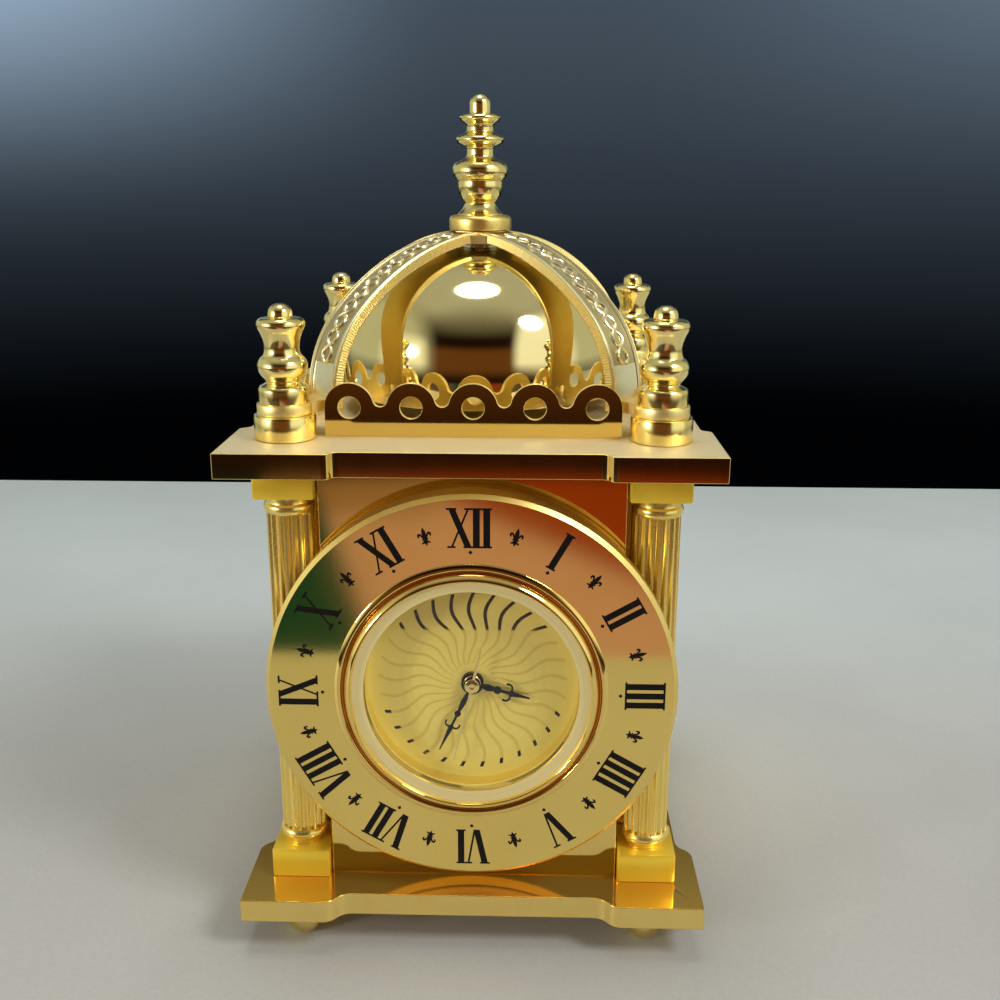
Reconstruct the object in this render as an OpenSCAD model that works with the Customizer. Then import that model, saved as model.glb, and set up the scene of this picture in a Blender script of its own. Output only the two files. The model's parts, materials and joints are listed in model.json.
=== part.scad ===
// Miniature lantern clock: two plates on four fluted posts, a bell under crossed straps,
// pierced frets, a chapter ring, and a quartz dial insert that pulls out of the front.
// Millimetres. The front faces -Y, +Z is up, and the origin is on the table under the middle.

/* [Plates and feet] */
// Width of the base plate and of the top plate
plate_w = 61.2; // [58:0.2:68]
// Depth of the top plate
plate_d = 62.6; // [61:0.2:68]
// Depth of the base plate
base_d = 63.6; // [62:0.2:68]
// Thickness of the base plate
base_t = 3.1; // [2:0.1:4]
// How far the middle of each base plate side is set back
base_recess = 2.0; // [1:0.1:3]
// Run of the curve from corner to middle on the base plate
base_run = 3.8; // [2:0.1:4]
// Half length of the set-back middle of a base plate side
base_mid = 16.1; // [12:0.1:18]
// Thickness of the top plate
top_t = 3.15; // [2:0.05:5]
// How far the middle of each top plate side is set back
top_recess = 1.3; // [1:0.1:2.5]
// Run of the curve from corner to middle on the top plate
top_run = 1.9; // [1:0.1:3]
// Half length of the set-back middle of a top plate side
top_mid = 15.7; // [12:0.1:18]
// Height of a bun foot
foot_h = 5.0; // [3:0.1:7]
// Diameter of a bun foot
foot_d = 5.6; // [4.8:0.1:7]
// Distance of the feet from the middle, to the sides
foot_x = 23.3; // [20:0.1:25]
// Distance of the feet from the middle, to the front and to the back
foot_y = 25.7; // [22:0.1:27]
// Diameter of the pin on a foot that goes into the base plate
pin_d = 2.4; // [1.6:0.1:3]

/* [Posts] */
// How far the posts and all that they carry stand behind the middle of the plates
frame_set = 1.2; // [0:0.1:1.6]
// Clear height between the plates
post_h = 57.5; // [52:0.5:64]
// Side of the square plinth at the foot of a post
plinth_w = 7.8; // [7:0.1:8]
// Height of the plinth
plinth_h = 4.2; // [3:0.1:6]
// Height of the round base moulding above the plinth
torus_h = 2.3; // [1.5:0.1:3]
// Diameter of the base moulding
torus_d = 6.9; // [6.2:0.1:7]
// Diameter of the fluted shaft over its ridges
shaft_d = 5.9; // [5.2:0.1:6]
// Number of flutes round a shaft
flute_count = 18; // [12:2:24]
// Radius of one flute
flute_r = 0.42; // [0.3:0.02:0.48]
// Height of the round moulding under the top block
echinus_h = 2.3; // [1.5:0.1:3]
// Diameter of that moulding
echinus_d = 6.5; // [6.2:0.1:7]
// Side of the square block at the top of a post
abacus_w = 7.7; // [7:0.1:8]
// Height of the top block
abacus_h = 4.0; // [2.5:0.1:5]
// Diameter of the rod that ties base, post and finial together
rod_d = 2.4; // [1.6:0.1:2.8]
// Radial room of the rod in what it passes through
rod_fit = 0.05; // [0.02:0.01:0.1]

/* [Case] */
// Width of the flat front between the posts, and of each flat side
case_w = 38.7; // [35:0.1:43]
// Room between the case and the square ends of the posts
post_gap = 0.2; // [0.1:0.05:0.6]
// How far the flat sides and back stand out past the post axes
case_stand = 1.35; // [1:0.05:2]
// How far the flat front stands out past the axes of the front posts
front_stand = 2.55; // [2.2:0.05:3]
// Wall of the case shell
case_wall = 1.2; // [0.8:0.1:2]
// Thickness of the front plate
front_t = 2.0; // [1.5:0.1:3]

/* [Corner finials] */
// Diameter of the drum under a corner finial
drum_d = 7.75; // [6.8:0.05:8]
// Height of the drum
drum_h = 3.1; // [2.5:0.1:5]
// Height of a corner finial above the strap end
corner_h = 12.2; // [10:0.1:16]
// Largest radius of a corner finial
corner_r = 3.15; // [2.6:0.05:3.6]
// Radius of a corner finial at its waist
corner_waist_r = 2.2; // [1.7:0.05:2.4]

/* [Bell and straps] */
// Width of a bell strap
strap_w = 5.8; // [4:0.1:6]
// Thickness of a bell strap
strap_t = 1.4; // [1:0.1:2]
// Distance from a post axis in to the outer face of its strap
strap_inset = 5.56; // [5.4:0.02:7]
// Rise of the strap arch above its ends
arch_rise = 19.95; // [18.5:0.05:24]
// Radius of the shoulder at each end of the arch
shoulder_r = 15.0; // [12:0.1:16]
// Width of the neck that joins a strap to its ring end
tab_w = 4.0; // [2:0.1:4]
// Outer radius of the ring end clamped under a corner finial
tab_r = 3.4; // [2.4:0.05:3.6]
// Outer diameter of the bell
bell_d = 39.0; // [30:0.2:40]
// Height of the bell
bell_h = 19.5; // [17:0.1:20]
// Height of its dome above the straight skirt
dome_h = 14.5; // [13:0.1:16]
// Fullness of the dome: 2 is an ellipse and more is squarer
dome_power = 2.2; // [2:0.1:2.6]
// Wall of the bell
bell_wall = 1.0; // [0.6:0.1:1.6]
// Thickness of the washer between bell and straps
washer_t = 0.9; // [0.6:0.1:2]
// Outer diameter of that washer
washer_d = 5.0; // [4:0.1:8]
// Room of the washer's seats on bell and straps
seat_fit = 0.03; // [0.02:0.01:0.05]
// Diameter of the stud that carries bell and top finial
stud_d = 2.4; // [1.6:0.1:3]
// Width across the flats of the bell nut
nut_af = 5.0; // [4.2:0.1:6]
// Height of the bell nut
nut_h = 1.8; // [1.2:0.1:3]

/* [Top finial] */
// Diameter of the collar under the top finial
collar_d = 8.6; // [7:0.1:10]
// Height of that collar
collar_h = 2.0; // [1:0.1:3]
// Height of the top finial above its collar
top_finial_h = 15.8; // [12:0.1:20]
// Largest radius of the top finial
top_finial_r = 3.83; // [3:0.05:4.5]
// Radius of the narrow necks of the top finial
top_neck_r = 1.85; // [1.6:0.05:2.2]

/* [Frets] */
// Number of scallops along a fret
scallops = 5; // [3:2:5]
// Room between the end of a fret and the drum beside it
fret_end = 0.95; // [0.8:0.05:1.5]
// Radius of a scallop as a share of the distance between scallops
scallop_share = 0.4; // [0.38:0.01:0.42]
// Radius of the valley between two scallops as a share of that distance
valley_share = 0.116; // [0.115:0.001:0.16]
// Radius of the hole in a scallop
fret_hole_r = 1.42; // [1:0.02:1.8]
// Height of the hole centres above the top plate
fret_hole_h = 3.7; // [2.5:0.1:4.5]
// Thickness of a fret
fret_t = 0.8; // [0.5:0.1:1]
// Distance from a post axis in to a fret's outer face
fret_set = 0.7; // [0.3:0.05:0.8]

/* [Chapter ring] */
// Room above and below the chapter ring, were it in the middle of the front
ring_gap = 2.55; // [2.2:0.05:4]
// Thickness of the chapter ring
ring_t = 2.6; // [1.5:0.1:3]
// Width of the bevel round the front of the chapter ring
ring_bevel = 0.55; // [0.2:0.05:0.8]
// How far the dial centre lies above the middle of the front
dial_lift = 0.35; // [0:0.05:0.8]
// Thickness of the spacer behind the chapter ring
spacer_t = 1.8; // [1.75:0.05:3]
// How far the spacer's rim lies inside the ring's rim
spacer_step = 0.2; // [0:0.1:1]
// Radius of the hole that takes the dial insert
insert_bore_r = 16.6; // [16.3:0.05:17]
// Height of a numeral as a share of the ring's band outside the bezel
numeral_share = 0.58; // [0.45:0.01:0.62]
// How far the numerals lie outside the middle of that band
numeral_shift = 0.2; // [0:0.05:0.4]
// Width of a heavy stroke of a numeral
stroke_w = 0.84; // [0.5:0.02:0.9]
// Width of a fine stroke and of a serif
hair_w = 0.26; // [0.16:0.02:0.4]
// Distance between neighbouring heavy strokes
stroke_pitch = 1.27; // [1.1:0.01:1.3]
// Depth of the filled engraving
engrave_t = 0.2; // [0.1:0.05:0.5]
// Height of a half-hour mark
mark_h = 2.4; // [1.6:0.1:3]
// How far the half-hour marks lie inside the middle of the band
mark_shift = 0.2; // [0:0.05:0.6]

/* [Dial insert] */
// Outer radius of the bezel
bezel_r = 17.4; // [17.2:0.1:18]
// Height of the bezel's roll above the chapter ring
bezel_h = 1.5; // [1:0.1:2]
// Radius of the bezel's clear opening
window_r = 13.7; // [12.5:0.1:13.8]
// Outer radius of the insert cup
cup_r = 15.4; // [15.3:0.05:15.6]
// Wall of the insert cup
cup_wall = 1.0; // [0.6:0.05:1]
// Radial room between the cup and what lies in it
cup_fit = 0.1; // [0.05:0.01:0.2]
// Radial room of the friction band in the insert hole
band_fit = 0.1; // [0.05:0.01:0.2]
// Width of the friction band
band_w = 5.0; // [2:0.1:5.2]
// Thickness of the crystal
crystal_t = 1.0; // [0.6:0.1:1.2]
// Thickness of the crystal gasket
gasket_t = 0.35; // [0.2:0.05:0.5]
// How far the dial lies behind the face of the chapter ring
dial_depth = 3.7; // [3.5:0.05:4.2]
// Thickness of the dial
dial_t = 0.4; // [0.2:0.05:0.5]

/* [Hands] */
// Length of the hour hand
hour_len = 7.7; // [6:0.1:8.5]
// Length of the minute hand
minute_len = 10.2; // [9:0.1:12]
// Length of the seconds hand
second_len = 10.8; // [9:0.1:12]
// Length of the seconds hand's tail
second_tail = 5.6; // [3:0.1:6]
// Thickness of each hand
hand_t = 0.18; // [0.1:0.02:0.2]
// Hour hand's angle from twelve, clockwise
hour_angle = 105; // [0:1:359]
// Minute hand's angle from twelve, clockwise
minute_angle = 205; // [0:1:359]
// Seconds hand's angle from twelve, clockwise
second_angle = 193; // [0:1:359]

/* [Movement] */
// Radial running room of every shaft and pipe
run_fit = 0.06; // [0.03:0.01:0.09]
// Radius of the seconds arbor and of the train's arbors
arbor_r = 0.3; // [0.24:0.01:0.34]
// Outer radius of the minute pipe
minute_pipe_r = 0.75; // [0.7:0.01:0.8]
// Outer radius of the hour pipe
hour_pipe_r = 1.15; // [1.1:0.01:1.25]
// Thickness of every wheel
wheel_t = 0.4; // [0.3:0.05:0.5]
// Thickness of the main plate
main_t = 1.2; // [0.8:0.1:1.6]
// Room between the main plate and the train bridge
train_gap = 3.7; // [3.6:0.05:4]
// Thickness of the train bridge
bridge_t = 0.8; // [0.6:0.1:1.2]
// Diameter of the button cell
cell_d = 6.8; // [5.8:0.1:7]
// Thickness of the button cell
cell_t = 2.6; // [1.6:0.1:2.7]
// Radius of the set knob
knob_r = 2.2; // [1.5:0.1:2.6]
// Length of the set knob
knob_h = 1.5; // [1:0.1:3]
// Radius of the battery hatch
hatch_r = 3.95; // [3.7:0.05:4.2]

/* [Hidden] */
$fn = 64;
gold = "goldenrod";
pale_gold = "khaki";
// Small overlap for cuts that run through a face
cut = 0.5;
// Faces of pieces that only touch in passing stay this far apart
air = 0.3;

// Heights of the faces from the table up
z_base = foot_h;
z_post = z_base + base_t;
z_top = z_post + post_h;
z_deck = z_top + top_t;
z_tab = z_deck + drum_h;
z_corner = z_tab + strap_t;
z_crown = z_corner + arch_rise;
z_finial = z_crown + collar_h;
dial_z = z_post + post_h / 2 + dial_lift;

// Places that follow from the case and its posts
post_pitch = case_w + plinth_w + 2 * post_gap;
post_half = post_pitch / 2;
post_reach = post_half * sqrt(2);
case_reach = post_half + case_stand;
front_reach = post_half + front_stand;
fret_reach = post_half - fret_set;
scallop_pitch = (post_pitch - drum_d - 2 * fret_end) / (scallops - 1 + 2 * scallop_share);
scallop_r = scallop_share * scallop_pitch;
valley_r = valley_share * scallop_pitch;

// Chapter ring and its engraving, from the height of the front and the bezel
ring_r = post_h / 2 - ring_gap;
spacer_r = ring_r - spacer_step;
band_mid = (ring_r + bezel_r) / 2;
numeral_h = numeral_share * (ring_r - bezel_r);
numeral_r = band_mid + numeral_shift;
mark_r = band_mid - mark_shift;

// Distances from the middle of the clock to faces in front of it
spacer_y = frame_set - front_reach;
ring_back_y = spacer_y - spacer_t;
ring_face_y = ring_back_y - ring_t;
dial_y = ring_face_y + dial_depth;

rod_bore_r = rod_d / 2 + rod_fit;
// Depth of the tie rods and of the foot pins in the base plate
rod_hold = base_t * 0.5;
pin_hold = base_t * 0.35;
CORNERS = [[-1, -1], [1, -1], [-1, 1], [1, 1]];

// Arch of a strap: a crown arc that runs into two shoulder arcs
arch_half = post_reach - strap_inset;
crown_r = (arch_half * arch_half - 2 * arch_half * shoulder_r + arch_rise * arch_rise)
    / (2 * (arch_rise - shoulder_r));
bell_r = bell_d / 2;
bell_top = z_crown - strap_t - washer_t;
dome_z = bell_top - dome_h;
stud_bore_r = stud_d / 2 + rod_fit;

// Depths inside the insert, from the dial front backwards
case_in = cup_r - cup_wall;
pack_r = case_in - cup_fit;
dial_back = dial_t;
hour_wheel_z = dial_back + air;
minute_wheel_z = hour_wheel_z + wheel_t + 0.4;
main_z = minute_wheel_z + wheel_t + 0.4;
main_back = main_z + main_t;
centre_wheel_z = main_back + air;
third_wheel_z = centre_wheel_z + wheel_t + 0.4;
second_wheel_z = third_wheel_z + wheel_t + 0.4;
inter_wheel_z = second_wheel_z + wheel_t + 0.4;
bridge_z = main_back + train_gap;
bridge_back = bridge_z + bridge_t;
screw_head_t = 0.4;
cup_in_z = bridge_back + screw_head_t + 0.2;
cup_floor = 0.8;
cup_back = cup_in_z + cup_floor;
// How far a pinion reaches past its wheel on each side
pinion_over = 0.1;
// How far a pivot goes into the plate or bridge that carries it
pivot_in = 0.5;

// Gear train: teeth and modules, from the motor to the hands
rotor_teeth = 8;
inter_teeth = 48;
rotor_mod = 0.16;
inter_pinion = 8;
second_teeth = 40;
inter_mod = 0.26;
second_pinion = 8;
third_teeth = 60;
second_mod = 0.18;
third_pinion = 8;
centre_teeth = 64;
third_mod = 0.17;
cannon_teeth = 12;
minute_teeth = 36;
cannon_mod = 0.25;
minute_pinion = 10;
hour_teeth = 40;
minute_mod = 0.24;
set_teeth = 12;

// Centre distances of the meshes
inter_dist = inter_mod * (inter_pinion + second_teeth) / 2;
rotor_dist = rotor_mod * (rotor_teeth + inter_teeth) / 2;
third_dist = second_mod * (second_pinion + third_teeth) / 2;
minute_dist = cannon_mod * (cannon_teeth + minute_teeth) / 2;
set_dist = cannon_mod * (set_teeth + minute_teeth) / 2;

// Directions of the meshes seen from the front
third_dir = 150;
inter_dir = 20;
rotor_dir = -70;
minute_dir = 200;
set_dir = 165;

function polar(r, a) = [r * cos(a), r * sin(a)];
third_at = polar(third_dist, third_dir);
inter_at = polar(inter_dist, inter_dir);
rotor_at = inter_at + polar(rotor_dist, rotor_dir);
minute_at = polar(minute_dist, minute_dir);
set_at = minute_at + polar(set_dist, set_dir);

// Turn of the second of two meshed gears, from the turn of the first and the direction between them
function meshed(turn, dir, teeth, other) = dir + 180 + 180 / other - (turn - dir) * teeth / other;
third_pinion_turn = meshed(0, third_dir, centre_teeth, third_pinion);
third_turn = meshed(0, third_dir, second_pinion, third_teeth);
inter_pinion_turn = meshed(0, inter_dir, second_teeth, inter_pinion);
rotor_turn = meshed(0, rotor_dir, inter_teeth, rotor_teeth);
minute_turn = meshed(0, minute_dir, cannon_teeth, minute_teeth);
minute_pinion_turn = meshed(0, minute_dir, hour_teeth, minute_pinion);
set_turn = meshed(minute_turn, set_dir, minute_teeth, set_teeth);

// Places in the movement that the train leaves free
cell_at = polar(9.8, 75);
pillar_r = 1.1;
pillar_dist = 12.4;
PILLARS = [for (a = [105, 235, 340]) polar(pillar_dist, a)];
screw_r = 0.5;
screw_head_r = 1.0;
board_pillar_r = 1.7;
coil_at = [3, -9.8];
coil_len = 8;
coil_r = 1.4;
core_w = 1.6;
core_reach = coil_len / 2 + 1.1;
knee_rise = 2.2;
stator_t = 0.6;
stator_z = third_wheel_z;
board_t = 0.6;
board_reach = pack_r - 0.3;
board_edge = [2.4, 6.2];
board_z = main_back + 2.0;
can_r = 0.9;
can_len = 5;
can_at = [-5.7, -7.2];
magnet_r = 1.3;
magnet_t = 1.3;
magnet_z = stator_z + stator_t / 2 - magnet_t / 2;
stator_hole_r = 1.75;
stator_pad_r = 2.9;
hatch_lug_r = 0.65;
hatch_lug_t = 0.35;
hatch_lug_angle = 40;
hatch_lug_room = 0.05;
hatch_open = 50;
hatch_in_z = cup_in_z - hatch_lug_room - hatch_lug_t;
cell_z = hatch_in_z - 0.2 - cell_t;

// Heights of the hands in front of the dial
hour_hand_z = 0.5;
minute_hand_z = hour_hand_z + hand_t + 0.25;
second_hand_z = minute_hand_z + hand_t + 0.25;
second_boss_r = 0.95;
minute_boss_r = 1.1;
hour_boss_r = 1.45;

// Points of a circle's arc from one angle to another
function arc(c, r, a0, a1, n) = [for (i = [0 : n]) c + polar(r, a0 + (a1 - a0) * i / n)];

// Smooth curve through points, with n steps between neighbours
function bend(p0, p1, p2, p3, t) = 0.5 * (2 * p1 + (p2 - p0) * t
    + (2 * p0 - 5 * p1 + 4 * p2 - p3) * t * t + (3 * p1 - p0 - 3 * p2 + p3) * t * t * t);
function smooth(p, n) = concat(
    [for (i = [0 : len(p) - 2], k = [0 : n - 1])
        bend(p[max(i - 1, 0)], p[i], p[i + 1], p[min(i + 2, len(p) - 1)], k / n)],
    [p[len(p) - 1]]);

// Outline of a gear with blunt straight-sided teeth and free backlash
function gear_outline(teeth, m, tip, root, turn) = [
    for (i = [0 : teeth - 1], s = [[root, -0.25], [0, -0.2], [tip, -0.1], [tip, 0.1], [0, 0.2], [root, 0.25]])
        polar(teeth * m / 2 + s[0] * m, turn + i * 360 / teeth + s[1] * 360 / teeth)];

module gear(teeth, m, t, turn, tip = 0.6, root = -1.0)
    linear_extrude(t) polygon(gear_outline(teeth, m, tip, root, turn));

// The posts and what they carry stand a little behind the middle of the plates
module on_frame() translate([0, frame_set, 0]) children();
module at_corner(c) on_frame() translate([c[0] * post_half, c[1] * post_half, 0]) children();
module at_foot(c) translate([c[0] * foot_x, c[1] * foot_y, 0]) children();

// Frame of the dial: x right, y up, z towards the viewer, zero on the dial front
module on_dial() translate([0, dial_y, dial_z]) rotate([90, 0, 0]) children();

// Place something a given depth behind the dial
module behind(z) translate([0, 0, -z]) children();

module disc(r, t, at = [0, 0], z = 0) translate([at[0], at[1], -z - t]) cylinder(r = r, h = t);

module tube(r, bore, t, z) translate([0, 0, -z - t]) difference() {
    cylinder(r = r, h = t);
    translate([0, 0, -cut]) cylinder(r = bore, h = t + 2 * cut);
}

// One side's set-back middle, with a curve at each end, to cut from a plate
module setback(depth, run, mid) {
    r = (run * run + depth * depth) / (4 * depth);
    a = asin(min(1, run / 2 / r));
    half = concat(
        [[mid + run + cut, -cut], [mid + run, 0]],
        arc([mid + run, r], r, -90, -90 - a, 6),
        arc([mid, depth - r], r, 90 - a, 90, 6));
    polygon(concat(half, [for (i = [len(half) - 1 : -1 : 0]) [-half[i][0], half[i][1]]]));
}

module plate_outline(d, depth, run, mid) difference() {
    square([plate_w, d], center = true);
    for (s = [0, 180]) rotate(s) {
        translate([0, -d / 2]) setback(depth, run, mid);
        rotate(90) translate([0, -plate_w / 2]) setback(depth, run, mid);
    }
}

// Base plate, with blind holes for the tie rods from above and for the foot pins from below
module base_plate() color(gold) difference() {
    translate([0, 0, z_base]) linear_extrude(base_t) plate_outline(base_d, base_recess, base_run, base_mid);
    for (c = CORNERS) {
        at_corner(c) translate([0, 0, z_post - rod_hold]) cylinder(r = rod_bore_r, h = rod_hold + cut);
        at_foot(c) translate([0, 0, z_base - cut]) cylinder(d = pin_d + 2 * rod_fit, h = pin_hold + cut);
    }
}

module top_plate() color(gold) translate([0, 0, z_top]) linear_extrude(top_t) difference() {
    plate_outline(plate_d, top_recess, top_run, top_mid);
    for (c = CORNERS) at_corner(c) circle(r = rod_bore_r);
}

// Bun foot, turned, wide under the plate and narrow at the table, with its pin
module feet() color(gold) for (c = CORNERS) at_foot(c) {
    rotate_extrude() polygon(concat([[0, 0]],
        smooth([[foot_d * 0.27, 0], [foot_d * 0.41, foot_h * 0.2], [foot_d / 2, foot_h * 0.6],
            [foot_d * 0.48, foot_h * 0.85], [foot_d * 0.42, foot_h]], 5), [[0, foot_h]]));
    cylinder(d = pin_d, h = foot_h + pin_hold - rod_fit);
}

// Bulging round moulding between two flat faces
module moulding(r_low, r_mid, r_high, h) rotate_extrude()
    polygon(concat([[0, 0]], smooth([[r_low, 0], [r_mid, h * 0.25], [r_mid, h * 0.7], [r_high, h]], 5),
        [[0, h]]));

module column(c) color(gold) at_corner(c) {
    shaft_h = post_h - plinth_h - torus_h - echinus_h - abacus_h;
    z_shaft = z_post + plinth_h + torus_h;
    difference() {
        union() {
            translate([-plinth_w / 2, -plinth_w / 2, z_post]) cube([plinth_w, plinth_w, plinth_h]);
            translate([0, 0, z_post + plinth_h])
                moulding(torus_d * 0.38, torus_d * 0.48, torus_d * 0.47, torus_h);
            translate([0, 0, z_shaft]) linear_extrude(shaft_h) difference() {
                circle(d = shaft_d);
                for (i = [1 : flute_count]) rotate(i * 360 / flute_count)
                    translate([shaft_d / 2 + flute_r * 0.1, 0]) circle(r = flute_r);
            }
            translate([0, 0, z_shaft + shaft_h])
                moulding(echinus_d * 0.47, echinus_d / 2, echinus_d * 0.45, echinus_h);
            translate([-abacus_w / 2, -abacus_w / 2, z_top - abacus_h]) cube([abacus_w, abacus_w, abacus_h]);
        }
        translate([0, 0, z_post - cut]) cylinder(r = rod_bore_r, h = post_h + 2 * cut);
    }
}

module column_front_left() column(CORNERS[0]);
module column_front_right() column(CORNERS[1]);
module column_rear_left() column(CORNERS[2]);
module column_rear_right() column(CORNERS[3]);

module tie_rods() color("silver") for (c = CORNERS) at_corner(c)
    translate([0, 0, z_post - rod_hold + rod_fit])
        cylinder(d = rod_d, h = z_corner + corner_h * 0.4 - z_post + rod_hold - rod_fit);

// Cross-shaped plan of the case, whose notched corners hold the posts
module case_plan(inset) {
    translate([inset - case_w / 2, inset - front_reach])
        square([case_w - 2 * inset, front_reach + case_reach - 2 * inset]);
    square([2 * (case_reach - inset), case_w - 2 * inset], center = true);
}

module case_shell() color(gold) on_frame() translate([0, 0, z_post]) linear_extrude(post_h) difference() {
    case_plan(0);
    case_plan(case_wall);
    translate([-case_w, -front_reach - cut]) square([2 * case_w, front_t + cut]);
}

module front_plate() color(gold) on_frame() difference() {
    translate([-case_w / 2, -front_reach, z_post]) cube([case_w, front_t, post_h]);
    translate([0, 0, dial_z]) rotate([90, 0, 0])
        translate([0, 0, front_reach - front_t - cut]) cylinder(r = insert_bore_r, h = front_t + 2 * cut);
}

// Strap along x: crown arc and shoulder arcs, straight down to the ring end level
module arch_area(inset) {
    half = arch_half - inset;
    shoulder = shoulder_r - inset;
    crown = crown_r - inset;
    a = atan2(z_corner - (z_crown - crown_r), arch_half - shoulder_r);
    right = concat([[half, z_tab - (inset > 0 ? cut : 0)]],
        arc([half - shoulder, z_corner], shoulder, 0, a, 14),
        arc([0, z_crown - crown_r], crown, a, 90, 16));
    polygon(concat(right, [for (i = [len(right) - 2 : -1 : 0]) [-right[i][0], right[i][1]]]));
}

// Square hub that fills the corners where the straps cross, a shell a little thinner than they are
hub_w = strap_w * 1.8;
hub_skin = 0.15;
module strap_hub() intersection() {
    translate([-hub_w / 2, -hub_w / 2, z_crown - 3 * strap_t]) cube([hub_w, hub_w, 4 * strap_t]);
    translate([0, 0, z_crown - crown_r]) difference() {
        sphere(r = crown_r - hub_skin);
        sphere(r = crown_r - strap_t + hub_skin);
    }
}

module bell_frame() color(gold) difference() {
    on_frame() {
        strap_hub();
        for (a = [45, 135]) rotate(a) {
            rotate([90, 0, 0]) translate([0, 0, -strap_w / 2]) linear_extrude(strap_w) difference() {
                arch_area(0);
                arch_area(strap_t);
            }
            for (s = [0, 180]) rotate(s) {
                translate([arch_half - strap_t / 2, -tab_w / 2, z_tab])
                    cube([strap_inset + strap_t / 2, tab_w, strap_t]);
                translate([post_reach, 0, z_tab]) cylinder(r = tab_r, h = strap_t);
            }
        }
    }
    for (c = CORNERS) at_corner(c) translate([0, 0, z_tab - cut])
        cylinder(r = rod_bore_r, h = strap_t + 2 * cut);
    on_frame() translate([0, 0, z_crown - 2 * strap_t]) cylinder(r = stud_bore_r, h = 3 * strap_t);
}

module finial_drums() color(gold) for (c = CORNERS) at_corner(c) translate([0, 0, z_deck]) difference() {
    cylinder(d = drum_d, h = drum_h);
    translate([0, 0, -cut]) cylinder(r = rod_bore_r, h = drum_h + 2 * cut);
}

// Turned piece from stations of radius and height, with a blind hole up its foot
module turned(stations, h, hole_r, hole_h) difference() {
    rotate_extrude() polygon(concat([[0, 0]], smooth(stations, 5), [[0, h]]));
    translate([0, 0, -cut]) cylinder(r = hole_r, h = hole_h + cut);
}

// Stations of a corner finial: foot disc, belly, waist, top ring and ball
corner_ball_r = corner_waist_r * 0.69;
CORNER_STATIONS = [
    [corner_r, 0], [corner_r, corner_h * 0.145], [corner_r * 0.93, corner_h * 0.175],
    [corner_waist_r * 0.97, corner_h * 0.217], [corner_r * 0.94, corner_h * 0.32],
    [corner_r * 0.985, corner_h * 0.373], [corner_r * 0.87, corner_h * 0.451],
    [corner_waist_r, corner_h * 0.525], [corner_waist_r, corner_h * 0.575],
    [corner_waist_r * 1.05, corner_h * 0.64], [corner_waist_r * 1.16, corner_h * 0.7],
    [corner_r * 0.935, corner_h * 0.77], [corner_r * 0.945, corner_h * 0.8],
    [corner_r * 0.81, corner_h * 0.852], [corner_ball_r, corner_h * 0.865], [corner_ball_r, corner_h * 0.897],
    [corner_ball_r * 0.7, corner_h * 0.97], [0.01, corner_h]];

module corner_finial(c) color(gold) at_corner(c) translate([0, 0, z_corner])
    turned(CORNER_STATIONS, corner_h, rod_bore_r, corner_h * 0.45);

module corner_finial_front_left() corner_finial(CORNERS[0]);
module corner_finial_front_right() corner_finial(CORNERS[1]);
module corner_finial_rear_left() corner_finial(CORNERS[2]);
module corner_finial_rear_right() corner_finial(CORNERS[3]);

// Edge of a fret: arches and the rounded valleys between them, from right to left
valley_rise = sqrt(pow(scallop_r + valley_r, 2) - pow(scallop_pitch / 2, 2));
valley_a = atan2(valley_rise, scallop_pitch / 2);
function scallop(i) = let (x = ((scallops - 1) / 2 - i) * scallop_pitch) concat(
    arc([x, fret_hole_h], scallop_r, i == 0 ? 0 : valley_a, i == scallops - 1 ? 180 : 180 - valley_a, 20),
    i == scallops - 1 ? [] : [for (k = [1 : 7]) [x - scallop_pitch / 2, fret_hole_h + valley_rise]
        + polar(valley_r, -valley_a - (180 - 2 * valley_a) * k / 8)]);

// Scalloped and pierced fret, standing on the top plate and facing -Y
module fret() color(gold) translate([0, -fret_reach + fret_t, z_deck]) rotate([90, 0, 0])
    linear_extrude(fret_t) difference() {
        half = (scallops - 1) / 2 * scallop_pitch + scallop_r;
        polygon(concat([[-half, 0], [half, 0]], [for (i = [0 : scallops - 1]) each scallop(i)]));
        for (i = [0 : scallops - 1]) translate([(i - (scallops - 1) / 2) * scallop_pitch, fret_hole_h])
            circle(r = fret_hole_r);
    }

module fret_front() on_frame() fret();
module fret_rear() on_frame() rotate(180) fret();
module fret_left() on_frame() rotate(-90) fret();
module fret_right() on_frame() rotate(90) fret();

// Solid form of the bell, grown by a skin and let down below the rim
module bell_form(skin, drop) translate([0, 0, dome_z]) rotate_extrude() polygon(concat(
    [[0, dome_h - bell_h - drop], [bell_r + skin, dome_h - bell_h - drop]],
    [for (k = [0 : 24]) [(bell_r + skin) * pow(cos(k * 3.75), 2 / dome_power),
        (dome_h + skin) * pow(sin(k * 3.75), 2 / dome_power)]]));

module bell() color(gold) on_frame() difference() {
    bell_form(0, 0);
    bell_form(-bell_wall, cut);
    translate([0, 0, bell_top - 3 * bell_wall]) cylinder(r = stud_bore_r, h = 4 * bell_wall);
}

// Washer with a hollow seat on the bell and a domed top under the straps
module bell_washer() color("silver") on_frame() difference() {
    intersection() {
        translate([0, 0, bell_top - bell_wall]) cylinder(d = washer_d, h = washer_t + bell_wall);
        translate([0, 0, z_crown - crown_r]) sphere(r = crown_r - strap_t - seat_fit);
    }
    bell_form(seat_fit, 0);
    translate([0, 0, bell_top - 2 * bell_wall]) cylinder(r = stud_bore_r, h = washer_t + 4 * bell_wall);
}

nut_z = dome_z - nut_h - seat_fit + (dome_h - bell_wall)
    * pow(1 - pow(nut_af / sqrt(3) / (bell_r - bell_wall), dome_power), 1 / dome_power);

module bell_nut() color("silver") on_frame() translate([0, 0, nut_z]) difference() {
    cylinder(d = nut_af * 2 / sqrt(3), h = nut_h, $fn = 6);
    translate([0, 0, -cut]) cylinder(r = stud_bore_r, h = nut_h + 2 * cut);
}

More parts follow.
